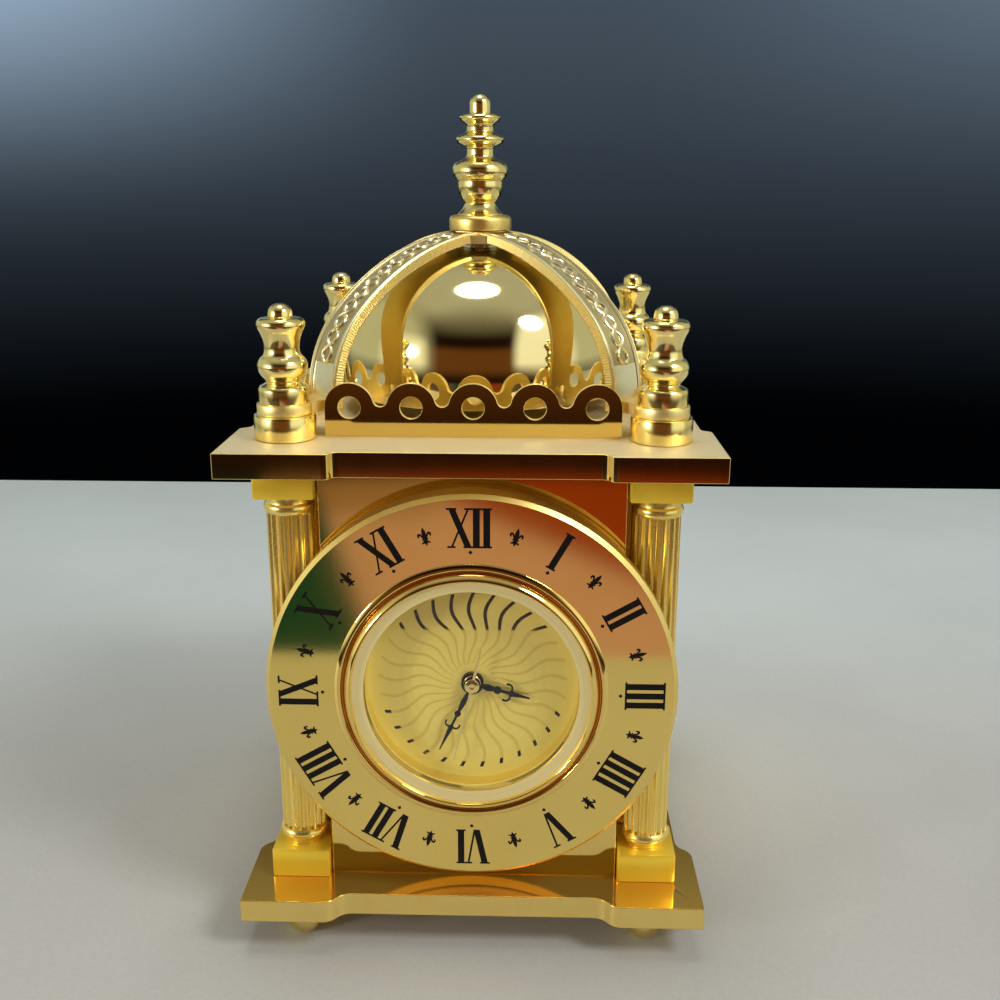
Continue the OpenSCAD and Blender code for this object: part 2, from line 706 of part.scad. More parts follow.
module bell_stud() color("silver") on_frame() translate([0, 0, nut_z - 0.6])
    cylinder(d = stud_d, h = z_finial + top_finial_h * 0.3 - nut_z + 0.6);

module finial_collar() color(gold) on_frame() translate([0, 0, z_crown]) difference() {
    cylinder(d = collar_d, h = collar_h);
    translate([0, 0, -cut]) cylinder(r = stud_bore_r, h = collar_h + 2 * cut);
}

// Stations of the top finial: flare, vase, bulge, two rings on necks, and a bullet tip
TOP_STATIONS = [
    [top_neck_r * 1.7, 0], [top_neck_r * 1.7, top_finial_h * 0.01], [top_neck_r * 1.3, top_finial_h * 0.06],
    [top_neck_r * 1.16, top_finial_h * 0.095], [top_neck_r * 1.4, top_finial_h * 0.142],
    [top_finial_r * 0.8, top_finial_h * 0.222], [top_finial_r * 0.81, top_finial_h * 0.285],
    [top_finial_r * 0.89, top_finial_h * 0.307], [top_finial_r * 0.97, top_finial_h * 0.332],
    [top_finial_r, top_finial_h * 0.368], [top_finial_r * 0.89, top_finial_h * 0.434],
    [top_neck_r * 1.135, top_finial_h * 0.472], [top_neck_r, top_finial_h * 0.494],
    [top_neck_r, top_finial_h * 0.56], [top_finial_r * 0.68, top_finial_h * 0.582],
    [top_finial_r * 0.86, top_finial_h * 0.627], [top_finial_r * 0.68, top_finial_h * 0.668],
    [top_neck_r, top_finial_h * 0.696], [top_neck_r, top_finial_h * 0.734],
    [top_finial_r * 0.6, top_finial_h * 0.769], [top_finial_r * 0.736, top_finial_h * 0.807],
    [top_finial_r * 0.52, top_finial_h * 0.838], [top_neck_r * 0.77, top_finial_h * 0.845],
    [top_neck_r * 0.77, top_finial_h * 0.924], [top_neck_r * 0.486, top_finial_h * 0.981],
    [0.01, top_finial_h]];

module top_finial() color(gold) on_frame() translate([0, 0, z_finial])
    turned(TOP_STATIONS, top_finial_h, stud_bore_r, top_finial_h * 0.32);

module ring_spacer() color(gold) translate([0, spacer_y, dial_z]) rotate([90, 0, 0]) difference() {
    intersection() {
        cylinder(r = spacer_r, h = spacer_t);
        translate([-case_w / 2, -spacer_r, 0]) cube([case_w, 2 * spacer_r, spacer_t]);
    }
    translate([0, 0, -cut]) cylinder(r = insert_bore_r, h = spacer_t + 2 * cut);
}

// Heavy upright stroke with a serif at each end, drawn at x
module bar(x) {
    translate([x - stroke_w / 2, -numeral_h / 2]) square([stroke_w, numeral_h]);
    for (s = [-1, 1]) serif(x, s, stroke_pitch);
}

module serif(x, s, w) translate([x - w / 2, s > 0 ? numeral_h / 2 - hair_w : -numeral_h / 2])
    square([w, hair_w]);

// Slanting stroke from the foot at x0 to the head at x1
module slant(x0, x1, w) polygon([[x0 - w / 2, -numeral_h / 2], [x0 + w / 2, -numeral_h / 2],
    [x1 + w / 2, numeral_h / 2], [x1 - w / 2, numeral_h / 2]]);

vee_w = 2.2;
ex_w = 2.1;

module vee(x) {
    slant(x, x - vee_w / 2, stroke_w);
    slant(x + stroke_w * 0.3, x + vee_w / 2, hair_w);
    serif(x - vee_w / 2, 1, stroke_pitch);
    serif(x + vee_w / 2, 1, stroke_pitch * 0.8);
}

module ex(x) {
    slant(x + ex_w / 2, x - ex_w / 2, stroke_w);
    slant(x - ex_w / 2, x + ex_w / 2, hair_w);
    for (s = [-1, 1], e = [-1, 1]) serif(x + e * ex_w / 2, s, stroke_pitch * (s * e < 0 ? 1 : 0.8));
}

// Letters of each numeral from one to twelve, and the room that each letter takes
NUMERALS = ["I", "II", "III", "IIII", "V", "VI", "VII", "VIII", "IX", "X", "XI", "XII"];
function letter_room(l) = l == "I" ? stroke_pitch : l == "V" ? vee_w + stroke_w * 0.75 : ex_w + stroke_w * 0.75;
function room(s, n) = n == 0 ? 0 : room(s, n - 1) + letter_room(s[n - 1]);

module numeral(s) for (i = [0 : len(s) - 1]) {
    x = room(s, i) + letter_room(s[i]) / 2 - room(s, len(s)) / 2;
    if (s[i] == "I") bar(x);
    if (s[i] == "V") vee(x);
    if (s[i] == "X") ex(x);
}

dot_w = 0.5;

module all_numerals() for (h = [1 : 12]) rotate(-30 * h) {
    translate([0, numeral_r]) numeral(NUMERALS[h - 1]);
    translate([0, numeral_r - numeral_h / 2 - dot_w * 1.1]) rotate(45) square(dot_w * 0.8, center = true);
}

// Half-hour mark: an upright petal, two curled side petals, a band and a three-pointed foot
function both_sides(half) = concat(half, [for (i = [len(half) - 1 : -1 : 0]) [-half[i][0], half[i][1]]]);
PETAL = both_sides([[0.4, -1.5], [0.8, 0], [1.15, 1.6], [0.9, 3.2], [0.1, 5]]);
CURL = [[0.3, -1.5], [0.8, 0.5], [1.7, 1.9], [2.8, 2.3], [3.6, 1.6], [3.7, 0.5], [3.1, -0.3], [2.5, 0],
    [2.75, 0.6], [2.5, 1], [2, 0.6], [1.5, -0.3], [1.1, -1.5]];
BAND = both_sides([[1.7, -1.9], [1.7, -1.1]]);
TOES = both_sides([[0.1, -5], [0.7, -3.7], [1.4, -3.6], [2.1, -3.9], [2.4, -3.2], [1.4, -2.6], [0.8, -1.7]]);

module lily(t) scale([mark_h / 10, mark_h / 10, 1]) {
    for (p = [PETAL, CURL, [for (q = CURL) [-q[0], q[1]]], BAND, TOES]) linear_extrude(t) polygon(p);
}

module all_marks(t) for (h = [0 : 11]) rotate(-30 * h - 15) translate([0, mark_r, 0]) lily(t);

// Move a piece drawn on the chapter ring's face into place
module on_ring() translate([0, ring_face_y, dial_z]) rotate([90, 0, 0]) children();

module chapter_ring() color(gold) on_ring() difference() {
    rotate_extrude() polygon([[insert_bore_r, -ring_t], [ring_r, -ring_t], [ring_r, -ring_bevel],
        [ring_r - ring_bevel, 0], [insert_bore_r, 0]]);
    translate([0, 0, -engrave_t]) {
        linear_extrude(engrave_t + cut) all_numerals();
        all_marks(engrave_t + cut);
    }
}

module chapter_numerals() color("black") on_ring() translate([0, 0, -engrave_t])
    linear_extrude(engrave_t) all_numerals();

module half_hour_marks() color("black") on_ring() translate([0, 0, -engrave_t]) all_marks(engrave_t);

// Bezel section: flange, groove, roll, brushed cone down to the window, and the seat of the crystal
lip_z = dial_depth - 0.25;
rim_z = dial_depth - 0.3;
roll_r = 1.1;
roll_at = [bezel_r - 1.7, dial_depth + bezel_h - roll_r];
flange_h = 0.45;

module bezel() color(gold) on_dial() rotate_extrude() polygon(concat(
    [[case_in, rim_z], [cup_r, rim_z], [cup_r, dial_depth], [bezel_r, dial_depth],
        [bezel_r, dial_depth + flange_h - 0.15], [bezel_r - 0.15, dial_depth + flange_h],
        [bezel_r - 0.5, dial_depth + flange_h], [bezel_r - 0.55, dial_depth + 0.15]],
    arc(roll_at, roll_r, -10, 140, 15),
    [[window_r, dial_depth - 0.1], [window_r, lip_z], [case_in, lip_z]]));

crystal_z = lip_z - crystal_t;
gasket_z = crystal_z - gasket_t;

module crystal() color("lightcyan", 0.3) on_dial() translate([0, 0, crystal_z])
    cylinder(r = pack_r, h = crystal_t);

module crystal_gasket() color("dimgray") on_dial() translate([0, 0, gasket_z]) difference() {
    cylinder(r = pack_r, h = gasket_t);
    translate([0, 0, -cut]) cylinder(r = window_r, h = gasket_t + 2 * cut);
}

// Polished wall between dial and crystal
module sight_ring() color(gold) on_dial() difference() {
    cylinder(r = pack_r, h = gasket_z);
    translate([0, 0, -cut]) cylinder(r = window_r, h = gasket_z + 2 * cut);
}

module dial() color(pale_gold) on_dial() difference() {
    disc(pack_r, dial_t);
    disc(hour_pipe_r + air, dial_t + 2 * cut, z = -cut);
}

module insert_cup() color("dimgray") on_dial() difference() {
    translate([0, 0, -cup_back]) cylinder(r = cup_r, h = cup_back + rim_z);
    translate([0, 0, -cup_in_z]) cylinder(r = case_in, h = cup_in_z + rim_z + cut);
    disc(arbor_r + 4 * run_fit + 0.2, cup_floor + 2 * cut, set_at, cup_in_z - cut);
    disc(hatch_r + run_fit, cup_floor + 2 * cut, cell_at, cup_in_z - cut);
    // Entry slots of the hatch lugs, away from where the lugs lie
    translate([cell_at[0], cell_at[1], -cup_back - cut]) linear_extrude(cup_floor + 2 * cut)
        for (s = [0, 180]) rotate(s - hatch_open) lug_plan(hatch_r + hatch_lug_r + 0.1, hatch_lug_angle + 4);
}

module lug_plan(r, a) polygon(concat([[0, 0]], arc([0, 0], r, -a / 2, a / 2, 6)));

module friction_band() color("dimgray") on_dial() translate([0, 0, dial_depth - 0.7 - band_w]) difference() {
    cylinder(r = insert_bore_r - band_fit, h = band_w);
    translate([0, 0, -cut]) cylinder(r = cup_r, h = band_w + 2 * cut);
}

// Hole for a running arbor through a plate
module bearing(at, z, t, r = arbor_r) disc(r + run_fit, t + 2 * cut, at, z - cut);

module main_plate() color("dimgray") on_dial() difference() {
    union() {
        disc(pack_r, main_t, z = main_z);
        tube(pack_r, pack_r - 0.8, main_z - dial_back, dial_back);
        for (i = [0 : 2]) {
            disc(pillar_r, train_gap, PILLARS[i], main_back);
            if (i == 1) disc(board_pillar_r, board_z - main_back, PILLARS[i], main_back);
        }
        disc(cell_d / 2 - 0.4, cell_z - 0.2 - main_back, cell_at, main_back);
        for (e = [-1, 1]) disc(0.9, stator_z - main_back, coil_at + [e * core_reach, 0], main_back);
        disc(arbor_r, main_z - hour_wheel_z + pinion_over, minute_at, hour_wheel_z - pinion_over);
    }
    bearing([0, 0], main_z, main_t, minute_pipe_r);
    bearing(set_at, main_z, main_t, arbor_r + 0.2);
    for (p = [third_at, inter_at, rotor_at])
        disc(arbor_r + run_fit, pivot_in + 0.1 + cut, p, main_back - pivot_in - 0.1);
    for (p = PILLARS) disc(screw_r, train_gap - 0.6 + cut, p, main_back + 0.6);
}

module train_bridge() color("silver") on_dial() difference() {
    disc(pack_r, bridge_t, z = bridge_z);
    for (p = [[0, 0], third_at, inter_at, rotor_at]) bearing(p, bridge_z, bridge_t);
    bearing(set_at, bridge_z, bridge_t, arbor_r + 0.2);
    for (p = PILLARS) bearing(p, bridge_z, bridge_t, screw_r);
    bearing(cell_at, bridge_z, bridge_t, cell_d / 2 + 0.1);
}

module movement_screws() color("silver") on_dial() for (p = PILLARS) difference() {
    union() {
        disc(screw_r - 0.02, train_gap - 0.8 + bridge_t, p, main_back + 0.8);
        disc(screw_head_r, screw_head_t, p, bridge_back);
    }
    translate([p[0] - screw_head_r - cut, p[1] - 0.15, -bridge_back - screw_head_t - cut])
        cube([2 * screw_head_r + 2 * cut, 0.3, cut + 0.2]);
}

module circuit_board() color("darkgreen") on_dial() difference() {
    intersection() {
        disc(board_reach, board_t, z = board_z);
        translate([-board_reach, -board_reach, -board_z - board_t - cut])
            cube([board_reach - board_edge[0], board_reach - board_edge[1], board_t + 2 * cut]);
    }
    bearing(PILLARS[1], board_z, board_t, pillar_r);
}

module quartz_can() color("silver") on_dial()
    translate([can_at[0] - can_len / 2, can_at[1], -board_z + can_r + 0.02]) rotate([0, 90, 0])
        cylinder(r = can_r, h = can_len);

// Core bar through the coil, and two pole arms that meet round the rotor
module stator_plan() difference() {
    union() {
        translate([coil_at[0] - coil_len / 2 - 2, coil_at[1] - core_w / 2]) square([coil_len + 4, core_w]);
        translate(rotor_at) circle(r = stator_pad_r);
        for (e = [-1, 1]) {
            foot = coil_at + [e * core_reach, 0];
            knee = foot + [0, knee_rise];
            arm(foot, knee + [0, core_w * 0.3]);
            arm(knee, rotor_at + [e * (stator_pad_r - core_w / 2), 0]);
        }
    }
    translate(rotor_at) circle(r = stator_hole_r);
}

module arm(a, b) {
    d = b - a;
    translate(a) rotate(atan2(d[1], d[0])) translate([0, -core_w / 2]) square([norm(d), core_w]);
}

module stator() color("silver") on_dial() behind(stator_z + stator_t) linear_extrude(stator_t) stator_plan();

module coil() color("peru") on_dial() difference() {
    translate([coil_at[0] - coil_len / 2, coil_at[1], -stator_z - stator_t / 2]) rotate([0, 90, 0])
        cylinder(r = coil_r, h = coil_len);
    translate([coil_at[0] - coil_len, coil_at[1] - core_w / 2 - 0.05, -stator_z - stator_t - 0.05])
        cube([2 * coil_len, core_w + 0.1, stator_t + 0.1]);
}

module button_cell() color("silver") on_dial() disc(cell_d / 2, cell_t, cell_at, cell_z);

module cell_contact() color("gold") on_dial() disc(cell_d / 2 - 0.6, 0.2, cell_at, cell_z - 0.2);

// Hand along +Y: boss, leaf, ball, two horns curling back to the boss, and a lance tip
module hand(length, boss, bore, w) {
    horn_r = w * 0.68;
    horn_y = length * 0.6;
    leaf = both_sides([[w * 0.25, boss * 0.8], [w * 0.55, length * 0.27], [w * 0.22, length * 0.43],
        [w * 0.2, horn_y + horn_r]]);
    lance = both_sides([[w * 0.2, horn_y], [w * 0.24, horn_y + horn_r * 0.6], [w * 0.46, horn_y + horn_r * 1.2],
        [w * 0.2, length * 0.86], [w * 0.1, length]]);
    difference() {
        union() {
            cylinder(r = boss, h = hand_t);
            linear_extrude(hand_t) polygon(leaf);
            linear_extrude(hand_t) polygon(lance);
            translate([0, length * 0.44, 0]) cylinder(r = w * 0.6, h = hand_t);
            for (s = [-1, 1]) translate([s * horn_r, horn_y, 0]) linear_extrude(hand_t) polygon(concat(
                arc([0, 0], horn_r + w * 0.14, -30, 210, 16), arc([0, 0], horn_r - w * 0.14, 210, -30, 16)));
        }
        translate([0, 0, -cut]) cylinder(r = bore, h = hand_t + 2 * cut);
    }
}

module hour_hand() color("black") on_dial() translate([0, 0, hour_hand_z]) rotate(-hour_angle)
    hand(hour_len, hour_boss_r, hour_pipe_r, 0.86);

module minute_hand() color("black") on_dial() translate([0, 0, minute_hand_z]) rotate(-minute_angle)
    hand(minute_len, minute_boss_r, minute_pipe_r, 0.7);

module seconds_hand() color(gold) on_dial() behind(-second_hand_z) rotate(-second_angle) difference() {
    union() {
        cylinder(r = second_boss_r, h = hand_t);
        linear_extrude(hand_t) polygon(both_sides([[0.04, -second_tail], [0.2, -second_tail * 0.6],
            [0.17, 0], [0.1, second_len]]));
    }
    translate([0, 0, -cut]) cylinder(r = arbor_r, h = hand_t + 2 * cut);
}

// Hour wheel on its pipe, which carries the hour hand through the dial
module hour_wheel() color("peachpuff") on_dial() difference() {
    union() {
        behind(hour_wheel_z + wheel_t) gear(hour_teeth, minute_mod, wheel_t, 0);
        behind(hour_wheel_z + wheel_t)
            cylinder(r = hour_pipe_r, h = hour_wheel_z + wheel_t + hour_hand_z + hand_t);
    }
    behind(hour_wheel_z + wheel_t + cut) cylinder(r = minute_pipe_r + run_fit, h = hour_wheel_z + wheel_t + 2);
}

// Centre wheel on the minute pipe, with the cannon pinion behind the dial
module centre_wheel() color("khaki") on_dial() difference() {
    union() {
        behind(centre_wheel_z + wheel_t) gear(centre_teeth, third_mod, wheel_t, 0);
        behind(minute_wheel_z + wheel_t + pinion_over)
            gear(cannon_teeth, cannon_mod, wheel_t + 2 * pinion_over, 0, 0.6, -0.9);
        behind(centre_wheel_z + wheel_t)
            cylinder(r = minute_pipe_r, h = centre_wheel_z + wheel_t + minute_hand_z + hand_t);
    }
    behind(centre_wheel_z + wheel_t + cut) cylinder(r = arbor_r + run_fit, h = centre_wheel_z + wheel_t + 3);
}

// Seconds wheel and pinion on the arbor that runs through the minute pipe
module seconds_wheel() color("khaki") on_dial() {
    behind(second_wheel_z + wheel_t) gear(second_teeth, inter_mod, wheel_t, 0);
    behind(third_wheel_z + wheel_t + pinion_over)
        gear(second_pinion, second_mod, wheel_t + 2 * pinion_over, 0, 0.6, -0.9);
    behind(bridge_z + pivot_in) cylinder(r = arbor_r, h = bridge_z + pivot_in + second_hand_z + hand_t);
}

// Minute wheel and pinion on a post of the main plate, between dial and main plate
module minute_wheel() color("peachpuff") on_dial() translate([minute_at[0], minute_at[1], 0]) difference() {
    union() {
        behind(minute_wheel_z + wheel_t) gear(minute_teeth, cannon_mod, wheel_t, minute_turn);
        behind(hour_wheel_z + wheel_t + pinion_over)
            gear(minute_pinion, minute_mod, wheel_t + pinion_over, minute_pinion_turn, 0.6, -0.9);
        disc(0.7, minute_wheel_z - hour_wheel_z, z = hour_wheel_z);
    }
    disc(arbor_r + run_fit, minute_wheel_z + wheel_t + cut, z = 0);
}

// Arbor between main plate and bridge, pivoted in both
module arbor() behind(bridge_z + pivot_in) cylinder(r = arbor_r, h = train_gap + 2 * pivot_in);

module third_wheel() color("khaki") on_dial() translate([third_at[0], third_at[1], 0]) {
    behind(third_wheel_z + wheel_t) gear(third_teeth, second_mod, wheel_t, third_turn);
    behind(centre_wheel_z + wheel_t + pinion_over)
        gear(third_pinion, third_mod, wheel_t + 2 * pinion_over, third_pinion_turn, 0.6, -0.9);
    arbor();
}

module intermediate_wheel() color("khaki") on_dial() translate([inter_at[0], inter_at[1], 0]) {
    behind(inter_wheel_z + wheel_t) gear(inter_teeth, rotor_mod, wheel_t, 0);
    behind(second_wheel_z + wheel_t + pinion_over)
        gear(inter_pinion, inter_mod, wheel_t + 2 * pinion_over, inter_pinion_turn, 0.6, -0.9);
    arbor();
}

module rotor() color("slategray") on_dial() translate([rotor_at[0], rotor_at[1], 0]) {
    disc(magnet_r, magnet_t, z = magnet_z);
    behind(inter_wheel_z + wheel_t + pinion_over)
        gear(rotor_teeth, rotor_mod, wheel_t + 2 * pinion_over, rotor_turn, 0.6, -0.9);
    arbor();
}

// Set knob behind the cup, on the arbor of the setting pinion
module set_knob() color("dimgray") on_dial() translate([set_at[0], set_at[1], 0]) {
    behind(minute_wheel_z + wheel_t) gear(set_teeth, cannon_mod, wheel_t, set_turn, 0.6, -0.9);
    behind(cup_back + air + knob_h / 2)
        cylinder(r = arbor_r + 0.2, h = cup_back + air + knob_h / 2 - minute_wheel_z);
    behind(cup_back + air + knob_h) linear_extrude(knob_h) difference() {
        circle(r = knob_r);
        for (i = [1 : 20]) rotate(i * 18) translate([knob_r, 0]) circle(r = knob_r * 0.08);
    }
}

// Coin-slot hatch over the cell, held by two lugs under the cup floor
module battery_hatch() color("dimgray") on_dial() translate([cell_at[0], cell_at[1], 0]) difference() {
    union() {
        disc(hatch_r, cup_back - hatch_in_z, z = hatch_in_z);
        behind(hatch_in_z + hatch_lug_t) linear_extrude(hatch_lug_t)
            for (s = [0, 180]) rotate(s) lug_plan(hatch_r + hatch_lug_r, hatch_lug_angle);
    }
    translate([-hatch_r * 0.7, -0.4, -cup_back - cut]) cube([hatch_r * 1.4, 0.8, cut + 0.4]);
}

base_plate();
feet();
column_front_left();
column_front_right();
column_rear_left();
column_rear_right();
tie_rods();
case_shell();
front_plate();
ring_spacer();
chapter_ring();
chapter_numerals();
half_hour_marks();
top_plate();
finial_drums();
bell_frame();
corner_finial_front_left();
corner_finial_front_right();
corner_finial_rear_left();
corner_finial_rear_right();
fret_front();
fret_rear();
fret_left();
fret_right();
bell();
bell_washer();
bell_stud();
bell_nut();
finial_collar();
top_finial();
insert_cup();
friction_band();
bezel();
crystal();
crystal_gasket();
sight_ring();
dial();
main_plate();
train_bridge();
movement_screws();
circuit_board();
quartz_can();
coil();
stator();
button_cell();
cell_contact();
hour_hand();
hour_wheel();
minute_hand();
centre_wheel();
seconds_hand();
seconds_wheel();
minute_wheel();
third_wheel();
intermediate_wheel();
rotor();
set_knob();
battery_hatch();
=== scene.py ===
"""Looks of the miniature lantern clock: gold plate, chain-worked straps, filled numerals and a rayed dial."""
import json
import math

import bmesh
import bpy
from mathutils import Matrix, Vector

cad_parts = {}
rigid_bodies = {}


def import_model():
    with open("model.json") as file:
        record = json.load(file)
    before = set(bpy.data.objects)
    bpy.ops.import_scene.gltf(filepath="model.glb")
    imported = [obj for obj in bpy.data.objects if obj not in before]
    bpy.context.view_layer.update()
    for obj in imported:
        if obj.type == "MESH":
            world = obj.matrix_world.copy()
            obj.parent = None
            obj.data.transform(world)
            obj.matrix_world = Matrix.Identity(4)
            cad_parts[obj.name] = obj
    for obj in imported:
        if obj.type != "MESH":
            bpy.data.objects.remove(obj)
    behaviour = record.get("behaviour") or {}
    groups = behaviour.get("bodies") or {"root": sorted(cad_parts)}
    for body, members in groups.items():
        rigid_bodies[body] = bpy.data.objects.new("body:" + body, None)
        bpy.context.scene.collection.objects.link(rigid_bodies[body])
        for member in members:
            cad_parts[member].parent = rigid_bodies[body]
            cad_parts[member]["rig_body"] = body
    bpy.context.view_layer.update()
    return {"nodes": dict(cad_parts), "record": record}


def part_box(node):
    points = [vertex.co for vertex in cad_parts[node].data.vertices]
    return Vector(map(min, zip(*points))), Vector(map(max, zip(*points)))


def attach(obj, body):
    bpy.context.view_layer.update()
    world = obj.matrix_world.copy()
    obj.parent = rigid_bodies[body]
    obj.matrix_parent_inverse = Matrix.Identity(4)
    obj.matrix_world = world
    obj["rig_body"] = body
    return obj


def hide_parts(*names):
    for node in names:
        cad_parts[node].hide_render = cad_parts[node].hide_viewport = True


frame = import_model()
NODES = frame["nodes"]
MM = 0.001
METRE = 1 / MM

# Edges that turn by more degrees than this stay sharp, and points nearer than this many millimetres merge
SHARP = 34
MERGE = 1e-4


def body_of(node):
    """Name of the body that a CAD node belongs to."""
    return NODES[node]["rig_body"]


def span(node):
    """Lowest and highest corner of a CAD node in millimetres."""
    low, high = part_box(node)
    return low / MM, high / MM


def middle(node):
    """Middle of a CAD node's box in millimetres."""
    low, high = span(node)
    return (low + high) / 2


# Places that the looks take from the solids, in millimetres
CORNERS = {"front_left": (-1, -1), "front_right": (1, -1), "rear_left": (-1, 1), "rear_right": (1, 1)}
POSTS = {name: middle("column_" + name) for name in CORNERS}
POST_HALF = POSTS["front_right"].x
FRAME_Y = middle("bell").y
DIAL_Y = span("dial")[0].y
DIAL_Z = middle("dial").z

# Wavy rays of the dial in millimetres: reach, wave, and where a dark reflection is painted on them
RAY_COUNT, RAY_FROM, RAY_TO = 29, 2.6, 12.3
RAY_SWAY, RAY_WAVE, RAY_CREST = 0.47, 7.2, 6.5
DARK_ABOVE, DARK_ENDS_FROM, DARK_ENDS_BELOW = 7.0, 11.5, -3.0


# Shader and geometry node writing

class Value:
    """A node socket that takes part in Python expressions."""

    def __init__(self, work, socket):
        self.work = work
        self.socket = socket

    def math(self, operation, other=None, swap=False):
        """Add a Math node for this value and another one."""
        pair = [self] if other is None else ([other, self] if swap else [self, other])
        return self.work.node("ShaderNodeMath", {"operation": operation}, dict(enumerate(pair)))

    def __add__(self, other):
        return self.math("ADD", other)

    __radd__ = __add__

    def __mul__(self, other):
        return self.math("MULTIPLY", other)

    __rmul__ = __mul__

    def __sub__(self, other):
        return self.math("SUBTRACT", other)

    def __rsub__(self, other):
        return self.math("SUBTRACT", other, swap=True)

    def __truediv__(self, other):
        return self.math("DIVIDE", other)

    def __pow__(self, other):
        return self.math("POWER", other)

    def step(self, low, high):
        """Smooth step from 0 at low to 1 at high."""
        return self.work.node("ShaderNodeMapRange", {"interpolation_type": "SMOOTHSTEP"},
                              {"Value": self, "From Min": low, "From Max": high})


class Work:
    """Writes nodes into one tree."""

    def __init__(self, tree):
        self.tree = tree

    def plug(self, socket, value):
        """Link a value to a socket, or set its number, colour or vector."""
        if isinstance(value, Value):
            self.tree.links.new(value.socket, socket)
        else:
            socket.default_value = value

    def add(self, kind, settings=None, inputs=None):
        """New node with its settings made first and its sockets filled."""
        node = self.tree.nodes.new(kind)
        for key, value in (settings or {}).items():
            setattr(node, key, value)
        for key, value in (inputs or {}).items():
            self.plug(node.inputs[key], value)
        return node

    def node(self, kind, settings=None, inputs=None, out=0):
        """One output of a new node as a value."""
        return Value(self, self.add(kind, settings, inputs).outputs[out])

    def vector(self, operation, *given, out=0):
        """Output of a Vector Math node."""
        return self.node("ShaderNodeVectorMath", {"operation": operation}, dict(enumerate(given)), out)

    def scaled(self, vector, factor):
        """A vector times a number."""
        return self.node("ShaderNodeVectorMath", {"operation": "SCALE"}, {0: vector, "Scale": factor})

    def mix(self, factor, a, b):
        """Blend of two colours."""
        node = self.add("ShaderNodeMix", {"data_type": "RGBA"})
        for socket, value in zip((node.inputs[0], node.inputs[6], node.inputs[7]), (factor, a, b)):
            self.plug(socket, value)
        return Value(self, node.outputs[2])


class Finish(Work):
    """A material with one Principled shader."""

    def __init__(self, name):
        self.material = bpy.data.materials.new(name)
        self.material.use_nodes = True
        super().__init__(self.material.node_tree)
        self.shader = self.tree.nodes["Principled BSDF"]
        self.place = self.node("ShaderNodeTexCoord", out=3)

    def noise(self, grain, detail=3.0, place=None, rough=0.55):
        """Noise from 0 to 1 whose grains are about this many millimetres apart."""
        return self.node("ShaderNodeTexNoise", {}, {"Vector": place or self.place, "Scale": 1 / (grain * MM),
                                                    "Detail": detail, "Roughness": rough})

    def specks(self, spacing, size):
        """Mask of rare round specks."""
        cells = self.add("ShaderNodeTexVoronoi", {"feature": "F1"},
                         {"Vector": self.place, "Scale": 1 / (spacing * MM)})
        near = 1 - Value(self, cells.outputs["Distance"]).step(size * 0.5, size)
        pick = self.node("ShaderNodeSeparateColor", {}, {0: Value(self, cells.outputs["Color"])})
        return near * pick.step(0.55, 0.6)

    def from_dial(self):
        """Place measured from the middle of the dial's face, in metres."""
        return self.vector("SUBTRACT", self.place, (0, DIAL_Y * MM, DIAL_Z * MM))

    def bump(self, height, depth):
        """Surface relief: height from 0 to 1 stands for this depth in millimetres."""
        return self.node("ShaderNodeBump", {}, {"Height": height, "Distance": depth * MM, "Strength": 1.0})

    def set(self, **sockets):
        """Fill the shader's sockets, with _ for a space."""
        for key, value in sockets.items():
            self.plug(self.shader.inputs[key.replace("_", " ")], value)
        return self.material


def tone(r, g, b):
    """A colour with full alpha."""
    return (r, g, b, 1.0)


def dimmed(colour, *shares):
    """A colour with its red, green and blue each cut to a share."""
    return tone(*(c * share for c, share in zip(colour, shares)))


GOLD = tone(0.97, 0.71, 0.22)
GOLD_DEEP = tone(0.93, 0.61, 0.13)


def polished_gold(name, base=GOLD, deep=GOLD_DEEP, rough=0.075, dust=0.6, metallic=1.0):
    """Mirror gold plate with faint wiping marks, dust pits and a slightly uneven tone."""
    f = Finish(name)
    cloud = f.noise(9, 2)
    wipe = f.noise(0.35, 4, f.node("ShaderNodeMapping", {}, {"Vector": f.place, "Scale": (1, 1, 0.15)}))
    pits = f.specks(0.55, 0.07) * dust
    relief = f.noise(0.25, 2) * 0.25 + pits
    return f.set(Base_Color=f.mix(cloud.step(0.35, 0.75) * 0.35, base, deep), Metallic=metallic,
                 Roughness=cloud * 0.03 + wipe * 0.02 + pits * 0.25 + (rough - 0.02),
                 Normal=f.bump(relief, 0.0016))


def satin_gold(name, base=GOLD, deep=GOLD_DEEP, rough=0.30, grain=0.14, depth=0.006, metallic=1.0):
    """Frosted gold plate with a fine sparkling grain."""
    f = Finish(name)
    cloud = f.noise(6, 3)
    sparkle = f.noise(grain, 2, rough=0.7)
    return f.set(Base_Color=f.mix(cloud.step(0.3, 0.8) * 0.4 + sparkle.step(0.5, 0.8) * 0.15, base, deep),
                 Metallic=metallic, Roughness=sparkle * 0.12 + cloud * 0.06 + (rough - 0.08),
                 Normal=f.bump(sparkle, depth))


def turned_finish(name, base, rough, line, depth, metallic=1.0, share=0.4):
    """Metal with fine tool lines round the dial axis."""
    f = Finish(name)
    flat = f.vector("MULTIPLY", f.from_dial(), (1, 0, 1))
    radius = f.vector("LENGTH", flat, out=1)
    lines = f.node("ShaderNodeTexNoise", {"noise_dimensions": "1D"},
                   {"W": radius, "Scale": 1 / (line * MM), "Detail": 2.0})
    cloud = f.noise(3, 2)
    dark = dimmed(base, 0.8, 0.72, 0.6)
    return f.set(Base_Color=f.mix(lines.step(0.35, 0.7) * share, base, dark), Metallic=metallic,
                 Roughness=lines * 0.1 + cloud * 0.05 + (rough - 0.08), Normal=f.bump(lines, depth))


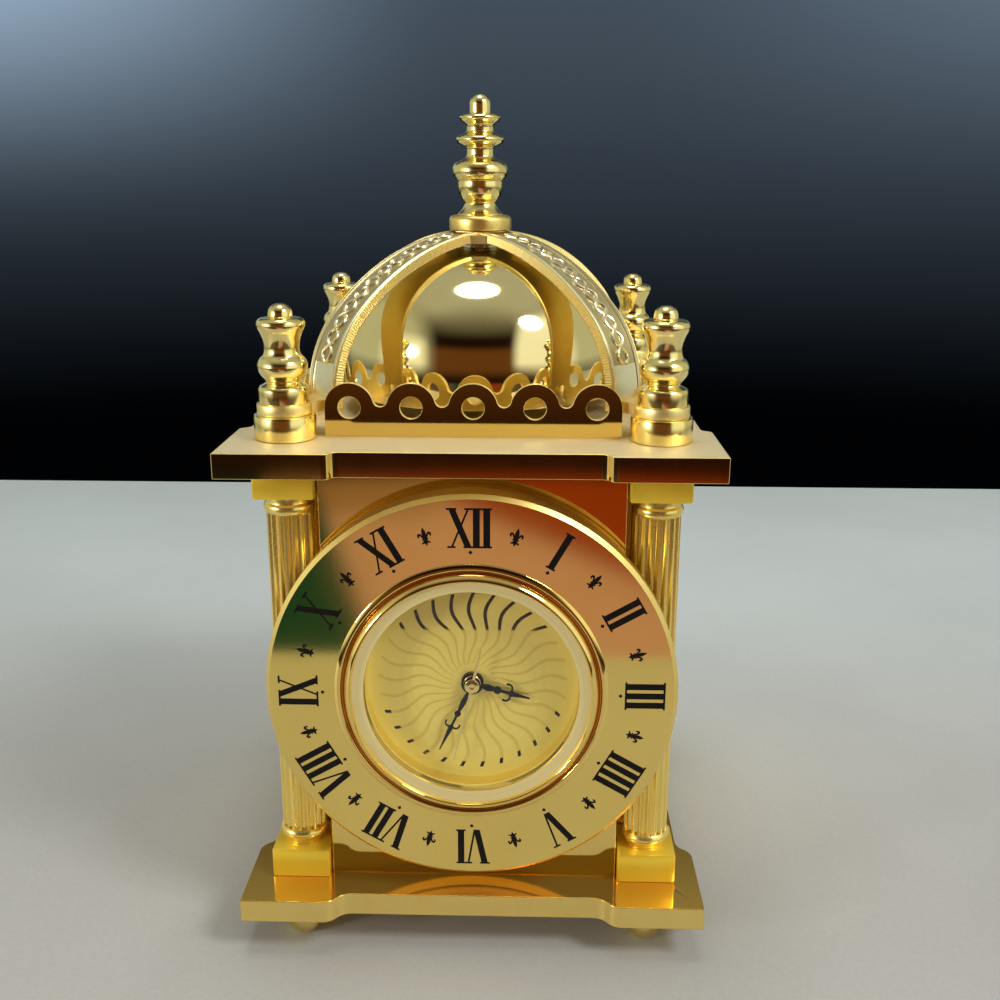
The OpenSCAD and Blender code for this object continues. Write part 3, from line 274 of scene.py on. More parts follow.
def plain_metal(name, base, rough):
    """Metal with a slight grain, for pieces that are seldom seen."""
    f = Finish(name)
    cloud = f.noise(2.5, 3)
    fine = f.noise(0.3, 2)
    dark = dimmed(base, 0.75, 0.75, 0.75)
    return f.set(Base_Color=f.mix(cloud.step(0.35, 0.75) * 0.5, base, dark), Metallic=1.0,
                 Roughness=fine * 0.12 + cloud * 0.08 + (rough - 0.1), Normal=f.bump(fine, 0.004))


def moulded(name, base, rough):
    """Moulded plastic or rubber with a fine skin and a slightly uneven tone."""
    f = Finish(name)
    cloud = f.noise(4, 3)
    fine = f.noise(0.25, 3)
    light = tone(*(min(1, c * 1.5 + 0.01) for c in base[:3]))
    return f.set(Base_Color=f.mix(cloud.step(0.4, 0.8) * 0.5, base, light),
                 Roughness=fine * 0.15 + (rough - 0.07), Normal=f.bump(fine, 0.006))


def painted_reflection_gold(name):
    """Polished gold with a painted dark reflection towards the top of the dial and at the ends of the lower
    rays.
    """
    f = Finish(name)
    centre = f.from_dial()
    radius = f.vector("LENGTH", centre, out=1)
    height = f.node("ShaderNodeSeparateXYZ", {}, {0: centre}, out=2)
    cloud = f.noise(1.5, 2)
    # Painted reflection: the rays turn dark where they would mirror the dark room
    low_part = height.step(DARK_ENDS_BELOW * MM, (DARK_ENDS_BELOW - 1.0) * MM)
    ends = radius.step(DARK_ENDS_FROM * MM, (DARK_ENDS_FROM + 0.1) * MM) * low_part
    painted_dark = height.step(DARK_ABOVE * MM, (DARK_ABOVE + 0.5) * MM).math("MAXIMUM", ends)
    return f.set(Base_Color=f.mix(painted_dark, tone(0.90, 0.68, 0.14), tone(0.06, 0.035, 0.015)),
                 Metallic=painted_dark * 0.6 + 0.4, Roughness=cloud * 0.08 + 0.28 - painted_dark * 0.2,
                 Normal=f.bump(cloud, 0.001))


def black_enamel(name):
    """Black filling and hand paint, glossy with a little orange peel."""
    f = Finish(name)
    peel = f.noise(0.3, 2)
    cloud = f.noise(1.5, 3)
    black, brown = tone(0.004, 0.003, 0.003), tone(0.012, 0.007, 0.004)
    return f.set(Base_Color=f.mix(cloud.step(0.45, 0.8) * 0.5, black, brown),
                 Roughness=peel * 0.15 + 0.4, IOR=1.3, Normal=f.bump(peel, 0.006))


def clear_glass(name):
    """Clear crystal that only shows where it catches light."""
    f = Finish(name)
    edge = f.node("ShaderNodeLayerWeight", {}, {"Blend": 0.25}, out=1)
    wipe = f.noise(5, 3)
    f.material.surface_render_method = "BLENDED"
    return f.set(Base_Color=tone(0.9, 0.95, 0.93), Roughness=wipe * 0.02 + 0.01, IOR=1.5,
                 Alpha=edge * 0.1 + wipe * 0.01 + 0.008)


def wound_copper(name):
    """Varnished winding: fine turns along x, with painted shade in the grooves between them."""
    f = Finish(name)
    pitch = 0.12 * MM
    x = f.node("ShaderNodeSeparateXYZ", {}, {0: f.place})
    turns = (x * (2 * math.pi / pitch)).math("SINE") * 0.5 + 0.5
    # Painted shade: the colour darkens where the bump is low, between the turns
    return f.set(Base_Color=f.mix(turns, tone(0.30, 0.09, 0.03), tone(0.75, 0.32, 0.12)), Metallic=0.9,
                 Roughness=turns * 0.1 + 0.25, Normal=f.bump(turns, 0.03))


def coated_board(name):
    """Green coated board with paler tracks."""
    f = Finish(name)
    tracks = f.noise(0.9, 1).step(0.5, 0.54)
    return f.set(Base_Color=f.mix(tracks, tone(0.012, 0.09, 0.03), tone(0.03, 0.2, 0.07)),
                 Roughness=tracks * 0.1 + 0.3, Normal=f.bump(tracks, 0.02))


MIRROR = polished_gold("mirror_gold", rough=0.05)
MIRROR_BASE = polished_gold("base_gold", base=tone(0.97, 0.63, 0.13), deep=tone(0.93, 0.55, 0.08), dust=1.0,
                            metallic=0.88)
MIRROR_BELL = polished_gold("bell_gold", base=tone(0.95, 0.80, 0.40), deep=tone(0.90, 0.70, 0.28), rough=0.06,
                            dust=1.0)
MIRROR_RING = polished_gold("ring_gold", base=tone(0.99, 0.74, 0.22), deep=tone(0.96, 0.68, 0.16), rough=0.07)
TURNED = polished_gold("turned_gold", base=tone(1.0, 0.82, 0.33), deep=tone(0.97, 0.72, 0.2), rough=0.16)
SATIN_POST = satin_gold("satin_post", base=tone(1.0, 0.70, 0.06), deep=tone(1.0, 0.62, 0.03), rough=0.3,
                        grain=0.22, depth=0.004, metallic=0.45)
POST_SHAFT = satin_gold("post_shaft", base=tone(1.0, 0.78, 0.24), deep=tone(0.98, 0.68, 0.12), rough=0.24,
                        grain=0.22, depth=0.003, metallic=0.85)
SATIN_PLATE = satin_gold("frosted_plate", base=tone(0.88, 0.76, 0.49), deep=tone(0.82, 0.65, 0.35),
                         rough=0.62, grain=0.17, depth=0.02)
SATIN_EDGE = satin_gold("satin_edge", base=tone(1.0, 0.77, 0.26), rough=0.34, grain=0.15, depth=0.005)
FRET_BACK = satin_gold("fret_back", base=tone(1.0, 0.80, 0.30), deep=tone(0.98, 0.72, 0.2), rough=0.36,
                       metallic=0.45)
STRAP_EDGE = satin_gold("strap_edge", base=tone(1.0, 0.84, 0.38), rough=0.42, grain=0.2, depth=0.008)
STRAP_FIELD = satin_gold("strap_field", base=tone(0.60, 0.50, 0.24), deep=tone(0.40, 0.32, 0.14), rough=0.38,
                         grain=0.2, depth=0.014, metallic=0.8)
STRAP_CHAIN = satin_gold("strap_chain", base=tone(0.98, 0.90, 0.64), deep=tone(0.92, 0.82, 0.52), rough=0.28,
                         grain=0.2, depth=0.003)
BEZEL_CONE = turned_finish("bezel_cone", tone(1.0, 0.84, 0.40), rough=0.42, line=0.25, depth=0.004,
                           metallic=0.4)
# Painted shade: dark brown gold for the deep channel between the bezel's flange and roll
GROOVE_PAINTED_SHADE = polished_gold("bezel_groove_painted_shade", base=tone(0.62, 0.30, 0.06), deep=tone(0.5, 0.2, 0.03),
                             rough=0.08)
SIGHT = polished_gold("sight_ring_gold", base=tone(1.0, 0.86, 0.36), deep=tone(0.98, 0.78, 0.24), rough=0.12)
CHAMPAGNE = turned_finish("champagne_dial_face", tone(1.0, 0.80, 0.18), rough=0.34, line=0.6, depth=0.0004,
                          metallic=0.2, share=0.12)
RAYS = painted_reflection_gold("rays_painted_reflection")
ENAMEL = black_enamel("black_enamel_fill")
GLASS = clear_glass("crystal_glass")
GASKET = moulded("yellow_gasket", tone(0.9, 0.66, 0.14), 0.4)
RUBBER = moulded("black_rubber_skin", tone(0.02, 0.02, 0.02), 0.7)
CUP = plain_metal("spun_cup", tone(0.58, 0.57, 0.54), 0.35)
STEEL = plain_metal("bright_steel", tone(0.62, 0.62, 0.6), 0.28)
BLACK_PLASTIC = moulded("black_moulding", tone(0.02, 0.02, 0.022), 0.5)
BOARD = coated_board("board_green")
COPPER = wound_copper("coil_copper")
TRAIN = plain_metal("train_brass_plain", tone(0.78, 0.58, 0.25), 0.25)


# Mesh making

def bend(p0, p1, p2, p3, t):
    """Point on a smooth curve between p1 and p2."""
    return tuple(0.5 * (2 * b + (c - a) * t + (2 * a - 5 * b + 4 * c - d) * t * t
                        + (3 * b - a - 3 * c + d) * t ** 3)
                 for a, b, c, d in zip(p0, p1, p2, p3))


def flow(points, steps=6):
    """Smooth curve through points."""
    last = len(points) - 1
    out = [bend(points[max(i - 1, 0)], points[i], points[i + 1], points[min(i + 2, last)], k / steps)
           for i in range(last) for k in range(steps)]
    return out + [tuple(points[-1])]


def eased(points, radius, closed=False, least_turn=0.3, most_share=0.45):
    """Polyline whose corners are rounded a little, within a share of the lines that meet there."""
    out = []
    count = len(points)
    for i, p in enumerate(points):
        if not closed and i in (0, count - 1):
            out.append(tuple(p))
            continue
        p = Vector(p)
        before, after = Vector(points[i - 1]) - p, Vector(points[(i + 1) % count]) - p
        turn = before.angle(-after, 0) if before.length and after.length else 0
        if turn < least_turn:
            out.append(tuple(p))
            continue
        cut = min(radius, before.length * most_share, after.length * most_share)
        a, b = p + before.normalized() * cut, p + after.normalized() * cut
        out += [tuple(a), tuple((a + 2 * p + b) / 4), tuple(b)]
    return out


def on_post(x, y):
    """Placing of a turned piece that stands upright at x, y."""
    return lambda r, a, h: (x + r * math.cos(a), y + r * math.sin(a), h)


AT_POSTS = {name: on_post(post.x, post.y) for name, post in POSTS.items()}
AT_MIDDLE = on_post(0, FRAME_Y)


def on_dial(r, a, h):
    """Placing of a turned piece on the dial axis, h millimetres in front of the dial."""
    return (r * math.cos(a), DIAL_Y - h, DIAL_Z + r * math.sin(a))


def spin(bm, profile, place, steps=96, closed=False):
    """Turn a profile of (radius, height) round an axis. An end on the axis closes in a point."""
    rings = []
    for r, h in profile:
        if r < MERGE:
            rings.append([bm.verts.new(place(0, 0, h))])
        else:
            rings.append([bm.verts.new(place(r, 2 * math.pi * k / steps, h)) for k in range(steps)])
    pairs = list(zip(rings, rings[1:])) + ([(rings[-1], rings[0])] if closed else [])
    faces = []
    for low, high in pairs:
        for k in range(steps):
            n = (k + 1) % steps
            corners = [low[k % len(low)], low[n % len(low)], high[n % len(high)], high[k % len(high)]]
            corners = list(dict.fromkeys(corners))
            if len(corners) > 2:
                faces.append(bm.faces.new(corners))
    return faces


def block(bm, low, high, ease=0.2):
    """Box with eased edges."""
    made = bmesh.ops.create_cube(bm, size=1.0)
    centre = (Vector(low) + Vector(high)) / 2
    size = Vector(high) - Vector(low)
    for v in made["verts"]:
        v.co = Vector(a * b for a, b in zip(v.co, size)) + centre
    edges = list(dict.fromkeys(e for v in made["verts"] for e in v.link_edges))
    bmesh.ops.bevel(bm, geom=edges, offset=ease, segments=2, profile=0.5, affect="EDGES")


def finish_mesh(bm, name, sharp=SHARP, flat=None):
    """Turn a bmesh in millimetres into a mesh in metres, smooth between sharp edges, flat across one axis."""
    bmesh.ops.remove_doubles(bm, verts=bm.verts, dist=MERGE)
    bmesh.ops.recalc_face_normals(bm, faces=bm.faces)
    bmesh.ops.scale(bm, vec=(MM, MM, MM), verts=bm.verts)
    planar = [flat is not None and abs(face.normal[flat]) > 0.999 for face in bm.faces]
    mesh = bpy.data.meshes.new(name)
    bm.to_mesh(mesh)
    bm.free()
    mesh.shade_smooth()
    mesh.set_sharp_from_angle(angle=math.radians(sharp))
    for polygon, plain in zip(mesh.polygons, planar):
        polygon.use_smooth = not plain
    return mesh


def new_object(name, mesh, materials=()):
    """New object in the scene with its materials."""
    obj = bpy.data.objects.new(name, mesh)
    bpy.context.scene.collection.objects.link(obj)
    for m in materials:
        mesh.materials.append(m)
    return obj


def enrol(obj, body, slot, replaces=()):
    """Let an object ride on a body and stand for some CAD nodes; the material slot is not used."""
    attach(obj, body)
    if replaces:
        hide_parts(*replaces)
    return obj


def piece(name, bm, materials, body, slot, replaces=(), sharp=SHARP, flat=None):
    """New object from a bmesh that rides on a body and stands for some CAD nodes."""
    return enrol(new_object(name, finish_mesh(bm, name, sharp, flat), materials), body, slot, replaces)


def turned(name, profile, places, materials, body, slot, replaces=(), steps=96, closed=False, sharp=SHARP):
    """New piece with one outline turned at each of some places."""
    bm = bmesh.new()
    for place in places:
        spin(bm, profile, place, steps, closed)
    return piece(name, bm, materials, body, slot, replaces, sharp)


def slot_of(node):
    """Material slot that the record gives a node."""
    return next(s["material_slot"] for s in frame["record"]["subparts"] if s["node"] == node)


def cad_copy(node):
    """A node's solid as a merged bmesh in millimetres."""
    bm = bmesh.new()
    bm.from_mesh(NODES[node].data)
    bmesh.ops.scale(bm, vec=(METRE, METRE, METRE), verts=bm.verts)
    bmesh.ops.remove_doubles(bm, verts=bm.verts, dist=2 * MERGE)
    return bm


def settle(obj):
    """Turn an object's modifiers into plain mesh."""
    bpy.context.view_layer.update()
    graph = bpy.context.evaluated_depsgraph_get()
    mesh = bpy.data.meshes.new_from_object(obj.evaluated_get(graph))
    obj.modifiers.clear()
    obj.data = mesh
    return obj


def skin(node, materials, sharp=SHARP, shift=(0, 0, 0), flat=None, rework=None):
    """A node's own shape with smooth shading between sharp edges."""
    bm = cad_copy(node)
    bmesh.ops.translate(bm, vec=shift, verts=bm.verts)
    if rework:
        rework(bm)
    return piece(node + "_skin", bm, materials, body_of(node), slot_of(node), [node], sharp, flat)


def eased_solid(node, materials, width, paint=None, edge=0, segments=3, level=0.3):
    """A node's own shape with its edges eased by a bevel, once faces level to so many degrees are joined."""
    bm = cad_copy(node)
    bmesh.ops.dissolve_limit(bm, angle_limit=math.radians(level), verts=bm.verts, edges=bm.edges)
    if paint:
        for face in bm.faces:
            face.material_index = paint(face)
    obj = new_object(node + "_eased", finish_mesh(bm, node + "_eased"), materials)
    cut = obj.modifiers.new("ease", "BEVEL")
    cut.width = width * MM
    cut.segments = segments
    cut.limit_method = "ANGLE"
    cut.angle_limit = math.radians(SHARP)
    cut.harden_normals = True
    cut.material = edge
    return enrol(settle(obj), body_of(node), slot_of(node), [node])


# Geometry node trees

def tree_with(name, inputs):
    """Empty geometry tree with named inputs, and its writer and group input node."""
    tree = bpy.data.node_groups.new(name, "GeometryNodeTree")
    tree.interface.new_socket("Geometry", in_out="INPUT", socket_type="NodeSocketGeometry")
    tree.interface.new_socket("Geometry", in_out="OUTPUT", socket_type="NodeSocketGeometry")
    for label, kind in inputs:
        tree.interface.new_socket(label, in_out="INPUT", socket_type="NodeSocket" + kind)
    work = Work(tree)
    source = work.add("NodeGroupInput")
    return tree, work, lambda label: Value(work, source.outputs[label])


def close_tree(work, geometry, material):
    """Realize what a tree made, give it its material and put it out."""
    real = work.node("GeometryNodeRealizeInstances", {}, {0: geometry})
    painted = work.node("GeometryNodeSetMaterial", {}, {"Geometry": real, "Material": material})
    out = work.add("NodeGroupOutput")
    work.plug(out.inputs[0], painted)


def grow(name, mesh, tree, values, sharp=40):
    """Run a geometry tree on a mesh and keep the result as a plain mesh."""
    obj = new_object(name, mesh)
    grower = obj.modifiers.new("grow", "NODES")
    grower.node_group = tree
    for item in tree.interface.items_tree:
        if item.in_out == "INPUT" and item.name in values:
            grower[item.identifier] = values[item.name]
    settle(obj)
    obj.data.shade_smooth()
    obj.data.set_sharp_from_angle(angle=math.radians(sharp))
    return obj


def round_copies_tree(merge=0.002):
    """Copies of a mesh spaced evenly round an axis, merged where they meet within so many millimetres."""
    tree, work, given = tree_with("round_copies", [("Count", "Int"), ("Axis", "Vector"), ("Centre", "Vector"),
                                                   ("Material", "Material")])
    back = work.scaled(given("Centre"), -1.0)
    homed = work.node("GeometryNodeTransform", {}, {"Geometry": given("Geometry"), "Translation": back})
    line = work.node("GeometryNodeMeshLine", {}, {"Count": given("Count"), "Offset": (0, 0, 0)})
    turn = work.node("GeometryNodeInputIndex") * (2 * math.pi) / given("Count")
    rotation = work.node("FunctionNodeAxisAngleToRotation", {}, {"Axis": given("Axis"), "Angle": turn})
    copies = work.node("GeometryNodeInstanceOnPoints", {},
                       {"Points": line, "Instance": homed, "Rotation": rotation})
    real = work.node("GeometryNodeRealizeInstances", {}, {0: copies})
    placed = work.node("GeometryNodeTransform", {}, {"Geometry": real, "Translation": given("Centre")})
    merged = work.node("GeometryNodeMergeByDistance", {}, {"Geometry": placed, "Distance": merge * MM})
    close_tree(work, merged, given("Material"))
    return tree


def chain_tree(points=360, strand_sides=8, eye_power=0.75):
    """Two strands that cross along a path and stand apart in round eyes between the crossings."""
    tree, work, given = tree_with("chain_relief", [
        ("Side", "Vector"), ("Pitch", "Float"), ("Spread", "Float"), ("Weave", "Float"), ("Strand", "Float"),
        ("Material", "Material")])
    path = work.node("GeometryNodeMeshToCurve", {}, {0: given("Geometry")})
    fine = work.node("GeometryNodeResampleCurve", {}, {"Curve": path, "Count": points})
    along = work.node("GeometryNodeSplineParameter", out=1)
    tangent = work.node("GeometryNodeInputTangent")
    outward = work.vector("CROSS_PRODUCT", given("Side"), tangent)
    phase = along * math.pi / given("Pitch")
    wave = phase.math("SINE")
    rounded = wave.math("ABSOLUTE") ** eye_power * wave.math("SIGN")
    ring = work.node("GeometryNodeCurvePrimitiveCircle", {},
                     {"Resolution": strand_sides, "Radius": given("Strand")})
    joined = work.add("GeometryNodeJoinGeometry")
    for sign in (1.0, -1.0):
        sway = rounded * given("Spread") * sign
        lift = phase.math("COSINE") * given("Weave") * sign
        shift = work.vector("ADD", work.scaled(given("Side"), sway), work.scaled(outward, lift))
        moved = work.node("GeometryNodeSetPosition", {}, {"Geometry": fine, "Offset": shift})
        strand = work.node("GeometryNodeCurveToMesh", {},
                           {"Curve": moved, "Profile Curve": ring, "Fill Caps": True})
        work.tree.links.new(strand.socket, joined.inputs[0])
    close_tree(work, Value(work, joined.outputs[0]), given("Material"))
    return tree


ROUND_COPIES = round_copies_tree()
CHAIN = chain_tree()


# Plates, feet and posts

def plate_paint(face):
    """Broad faces and sides of a plate."""
    return 0 if abs(face.normal.z) > 0.9 else 1


eased_solid("base_plate", [MIRROR_BASE, SATIN_EDGE], width=0.4, paint=plate_paint, edge=0)
eased_solid("top_plate", [SATIN_PLATE, MIRROR, SATIN_EDGE], width=0.35, paint=plate_paint, edge=2)

FOOT_R = 2.8


def make_feet():
    """Four turned bun feet, wide under the plate and narrow at the table."""
    low, high = span("feet")
    plate = span("base_plate")[0].z
    h = plate - low.z
    bun = flow([(FOOT_R * 0.54, 0.0), (FOOT_R * 0.82, h * 0.2), (FOOT_R, h * 0.6), (FOOT_R * 0.96, h * 0.85),
                (FOOT_R * 0.84, h)])
    mid, reach = (low + high) / 2, (high - low) / 2
    places = [on_post(mid.x + sx * (reach.x - FOOT_R), mid.y + sy * (reach.y - FOOT_R))
              for sx, sy in CORNERS.values()]
    turned("bun_feet", [(0.0, 0.0)] + bun + [(0.0, h)], places, [TURNED], "clock", "satin_gold", ["feet"],
           steps=64)


make_feet()

# Parts of a post from the foot up: plinth block, round base, fluted shaft, round cap and top block
PLINTH_H, TORUS_H, ECHINUS_H, ABACUS_H = 4.2, 2.3, 2.3, 4.0
PLINTH_HALF, ABACUS_HALF, BLOCK_EASE = 3.9, 3.85, 0.28
FLUTES, FLUTE_R, SHAFT_R, SHAFT_LAP = 18, 0.42, 2.95, 0.05
TORUS_PROFILE = ([(0.0, 0.0)]
                 + flow([(2.55, 0.0), (2.6, 0.4), (2.85, 0.8), (3.18, 1.15), (3.3, 1.6), (3.2, 2.0),
                         (2.98, TORUS_H)], 5)
                 + [(0.0, TORUS_H)])
ECHINUS_PROFILE = ([(0.0, 0.0)]
                   + flow([(2.97, 0.0), (3.18, 0.25), (3.25, 0.65), (3.18, 1.05), (2.97, 1.3)], 5)
                   + eased([(2.93, 1.34), (2.9, 1.45), (2.9, 2.1), (2.98, ECHINUS_H), (0.0, ECHINUS_H)],
                           0.06))


def flute_strip(z_low, z_high, points=4):
    """One flute and half of each ridge beside it, upright on the +X side of the origin."""
    half = math.pi / FLUTES
    depth = FLUTE_R * 0.9
    edge = math.asin(FLUTE_R / (SHAFT_R + FLUTE_R * 0.1))
    hollow = [(SHAFT_R - depth * math.cos(math.pi / 2 * k / points) ** 0.8, edge * k / points)
              for k in range(-points, points + 1)]
    plan = [(SHAFT_R, -half)] + hollow + [(SHAFT_R, half)]
    bm = bmesh.new()
    low, high = ([bm.verts.new((r * math.cos(a), r * math.sin(a), z)) for r, a in plan]
                 for z in (z_low, z_high))
    for k in range(len(plan) - 1):
        bm.faces.new((low[k], low[k + 1], high[k + 1], high[k]))
    return finish_mesh(bm, "flute")


def make_posts():
    """Four posts: square plinth, round base, fluted shaft, round cap and square top block."""
    low, high = span("column_front_left")
    z0, z1 = low.z, high.z
    shaft_low, shaft_high = z0 + PLINTH_H + TORUS_H, z1 - ABACUS_H - ECHINUS_H
    strip = flute_strip(shaft_low - SHAFT_LAP, shaft_high + SHAFT_LAP)
    shaft = grow("shaft_pattern", strip, ROUND_COPIES,
                 {"Count": FLUTES, "Axis": (0, 0, 1), "Centre": (0, 0, 0), "Material": POST_SHAFT})
    for name, post in POSTS.items():
        foot, top = Vector((post.x, post.y, z0)), Vector((post.x, post.y, z1))
        bm = bmesh.new()
        block(bm, foot - Vector((PLINTH_HALF, PLINTH_HALF, 0)),
              foot + Vector((PLINTH_HALF, PLINTH_HALF, PLINTH_H)), BLOCK_EASE)
        block(bm, top - Vector((ABACUS_HALF, ABACUS_HALF, ABACUS_H)),
              top + Vector((ABACUS_HALF, ABACUS_HALF, 0)), BLOCK_EASE)
        squares = set(bm.faces)
        for profile, base in ((TORUS_PROFILE, z0 + PLINTH_H), (ECHINUS_PROFILE, shaft_high)):
            spin(bm, [(r, base + h) for r, h in profile], AT_POSTS[name], steps=64)
        others = set(bm.verts)
        bm.from_mesh(shaft.data)
        for v in bm.verts:
            if v not in others:
                v.co = v.co * METRE + Vector((post.x, post.y, 0))
        for face in bm.faces:
            face.material_index = 0 if face in squares else 1
        piece("post_" + name, bm, [SATIN_POST, POST_SHAFT], "clock", "satin_gold", ["column_" + name],
              sharp=38)
    bpy.data.objects.remove(shaft)


make_posts()

# Case, front plate and frets
eased_solid("case_shell", [MIRROR], width=0.15)
eased_solid("front_plate", [MIRROR], width=0.15)
skin("ring_spacer", [SATIN_EDGE])

# An outer face lies at least this far out from the middle of the frame, in millimetres
OUTER = 5


def fret_paint(face):
    """Outer face of a fret polished, the rest satin."""
    at, n = face.calc_center_median(), face.normal
    return 0 if n.x * at.x + n.y * (at.y - FRAME_Y) > OUTER else 1


for side in ("front", "rear", "left", "right"):
    eased_solid("fret_" + side, [MIRROR, FRET_BACK], width=0.3, paint=fret_paint, edge=1)


# Bell, straps and finials
DOME_H, DOME_POWER, BELL_WALL = 14.5, 2.2, 1.0
STUD_BORE, BORE_EDGE, BORE_LIP = 1.25, 1.4, 0.02


def dome(radius, height, base, steps=48):
    """Outline of a full dome from its skirt to its top."""
    angles = [math.pi / 2 * k / steps for k in range(steps + 1)]
    power = 2 / DOME_POWER
    return [(radius * max(0.0, math.cos(a)) ** power, base + height * math.sin(a) ** power) for a in angles]


def make_bell():
    """Turned bell: a full dome over a straight skirt with an eased rim."""
    low, high = span("bell")
    radius = (high.x - low.x) / 2
    base = high.z - DOME_H
    outer = [p for p in dome(radius, DOME_H, base) if p[0] > BORE_EDGE]
    inner = [p for p in dome(radius - BELL_WALL, DOME_H - BELL_WALL, base) if p[0] > BORE_EDGE]
    profile = [(radius, low.z)] + outer + [(STUD_BORE, outer[-1][1] + BORE_LIP), (STUD_BORE, inner[-1][1])]
    profile += inner[::-1] + [(radius - BELL_WALL, low.z)]
    turned("bell_turned", eased(profile, 0.2, closed=True), [AT_MIDDLE], [MIRROR_BELL], "clock",
           "polished_gold", ["bell"], steps=144, closed=True)


make_bell()

# A strap's outer face: a wide arc over the crown, a tighter one at each shoulder, and a short drop
STRAP_T, SHOULDER_R, FOOT_INSET = 1.4, 15.0, 5.56
POST_OUT = POST_HALF * math.sqrt(2)
ARCH_HALF = POST_OUT - FOOT_INSET
Z_CROWN = span("bell_frame")[1].z
Z_TAB = span("bell_frame")[0].z
Z_SPRING = Z_TAB + STRAP_T
RISE = Z_CROWN - Z_SPRING
CROWN_R = (ARCH_HALF ** 2 - 2 * ARCH_HALF * SHOULDER_R + RISE ** 2) / (2 * (RISE - SHOULDER_R))
ARCH_JOIN = math.atan2(Z_SPRING - (Z_CROWN - CROWN_R), ARCH_HALF - SHOULDER_R)
CROWN_LEN = CROWN_R * (math.pi / 2 - ARCH_JOIN)
ARCH_LEN = CROWN_LEN + SHOULDER_R * ARCH_JOIN
LEG_LEN = ARCH_LEN + STRAP_T


def arch_at(s):
    """Outer face of a strap at a distance from the crown: (distance out, height, angle of the way out)."""
    if s < CROWN_LEN:
        a = math.pi / 2 - s / CROWN_R
        return CROWN_R * math.cos(a), Z_CROWN - CROWN_R + CROWN_R * math.sin(a), a
    a = max(0.0, ARCH_JOIN - (s - CROWN_LEN) / SHOULDER_R)
    drop = max(0.0, s - ARCH_LEN)
    return ARCH_HALF - SHOULDER_R + SHOULDER_R * math.cos(a), Z_SPRING + SHOULDER_R * math.sin(a) - drop, a


def leg_axes(corner):
    """Level directions along and across the strap leg that goes to a corner."""
    along = Vector((*corner, 0)).normalized()
    return along, Vector((-along.y, along.x, 0))


def on_strap(along, s):
    """Point on a leg's outer face at a distance from the crown, and the way out of the face there."""
    u, z, a = arch_at(s)
    return Vector((0, FRAME_Y, z)) + along * u, along * math.cos(a) + Vector((0, 0, math.sin(a)))


# Half section of a strap from its middle out and under: (across, height, material)
EDGE, FIELD, BORDER = 0, 1, 2
STRAP_HALF = [(0.0, -0.16, FIELD), (2.02, -0.16, FIELD), (2.12, -0.02, BORDER), (2.3, 0.0, BORDER),
              (2.46, -0.04, BORDER), (2.54, -0.26, EDGE), (2.62, -0.26, EDGE), (2.68, -0.1, EDGE),
              (2.8, -0.08, EDGE), (2.9, -0.18, EDGE), (2.9, -1.25, EDGE), (2.75, -STRAP_T, EDGE),
              (0.0, -STRAP_T, EDGE)]
RIB_SIDE = (9, 10)
RIB_PITCH, RIB_DEPTH = 0.36, 0.07
LEG_ROWS = int(LEG_LEN / (RIB_PITCH / 2))

# Half outline of a strap's flat foot, (distance out, across), and the ring round the post at its end
TAB_HALF = [(ARCH_HALF - 1.3, 2.85), (ARCH_HALF - 0.1, 2.8), (ARCH_HALF + 0.7, 2.15),
            (ARCH_HALF + 2.0, 1.95), (POST_OUT - 2.4, 2.3)]
EYE_BORE, EYE_R = 1.3, 3.4

# Square hub where the straps cross, a little inside their faces
HUB_HALF, HUB_SINK, HUB_RISE = 5.2, 0.2, 0.15

# Chain in relief along each leg
CHAIN_FROM, CHAIN_TO, CHAIN_EYES, CHAIN_POINTS = 5.2, 33.0, 12, 80
CHAIN_SINK, CHAIN_SPREAD, CHAIN_WEAVE, STRAND_R = 0.12, 0.82, 0.05, 0.23


def half_leg(bm, along, across):
    """One side of a strap leg, from the crown to the foot, with ribs on its edge."""
    rows = []
    for i in range(LEG_ROWS + 1):
        at, out = on_strap(along, LEG_LEN * i / LEG_ROWS)
        row = []
        for k, (v, h, _) in enumerate(STRAP_HALF):
            inset = RIB_DEPTH if k in RIB_SIDE and i % 2 else 0.0
            row.append(bm.verts.new(at + across * (v - inset) + out * h))
        rows.append(row)
    for i, (low, high) in enumerate(zip(rows, rows[1:])):
        below_chain = LEG_LEN * i / LEG_ROWS > CHAIN_TO
        for k in range(len(STRAP_HALF) - 1):
            face = bm.faces.new((low[k], low[k + 1], high[k + 1], high[k]))
            part = STRAP_HALF[k][2]
            face.material_index = BORDER if below_chain and part == FIELD else part
    bm.faces.new(rows[-1])


def make_straps():
    """Four strap legs with raised borders and ribbed sides, the hub where they cross, and the ring ends."""
    bm = bmesh.new()
    centre = Vector((0, FRAME_Y, 0))
    tab = TAB_HALF + [(u, -v) for u, v in reversed(TAB_HALF)]
    for corner in CORNERS.values():
        along, across = leg_axes(corner)
        for side in (1, -1):
            half_leg(bm, along, across * side)
        slab(bm, [centre + along * u + across * v for u, v in tab], Z_TAB, Z_SPRING)
    eye = [(EYE_BORE, Z_TAB), (EYE_R, Z_TAB), (EYE_R, Z_SPRING), (EYE_BORE, Z_SPRING)]
    for place in AT_POSTS.values():
        spin(bm, eased(eye, 0.2, closed=True), place, steps=64, closed=True)
    make_hub(bm)
    piece("bell_straps", bm, [STRAP_EDGE, STRAP_FIELD, STRAP_CHAIN], "clock", "antique_gold", ["bell_frame"],
          sharp=30)


def slab(bm, outline, low, high):
    """Flat plate from an outline, between two heights."""
    rings = [[bm.verts.new((p[0], p[1], z)) for p in outline] for z in (low, high)]
    for ring in rings:
        bm.faces.new(ring)
    for k in range(len(outline)):
        n = (k + 1) % len(outline)
        bm.faces.new((rings[0][k], rings[0][n], rings[1][n], rings[1][k]))


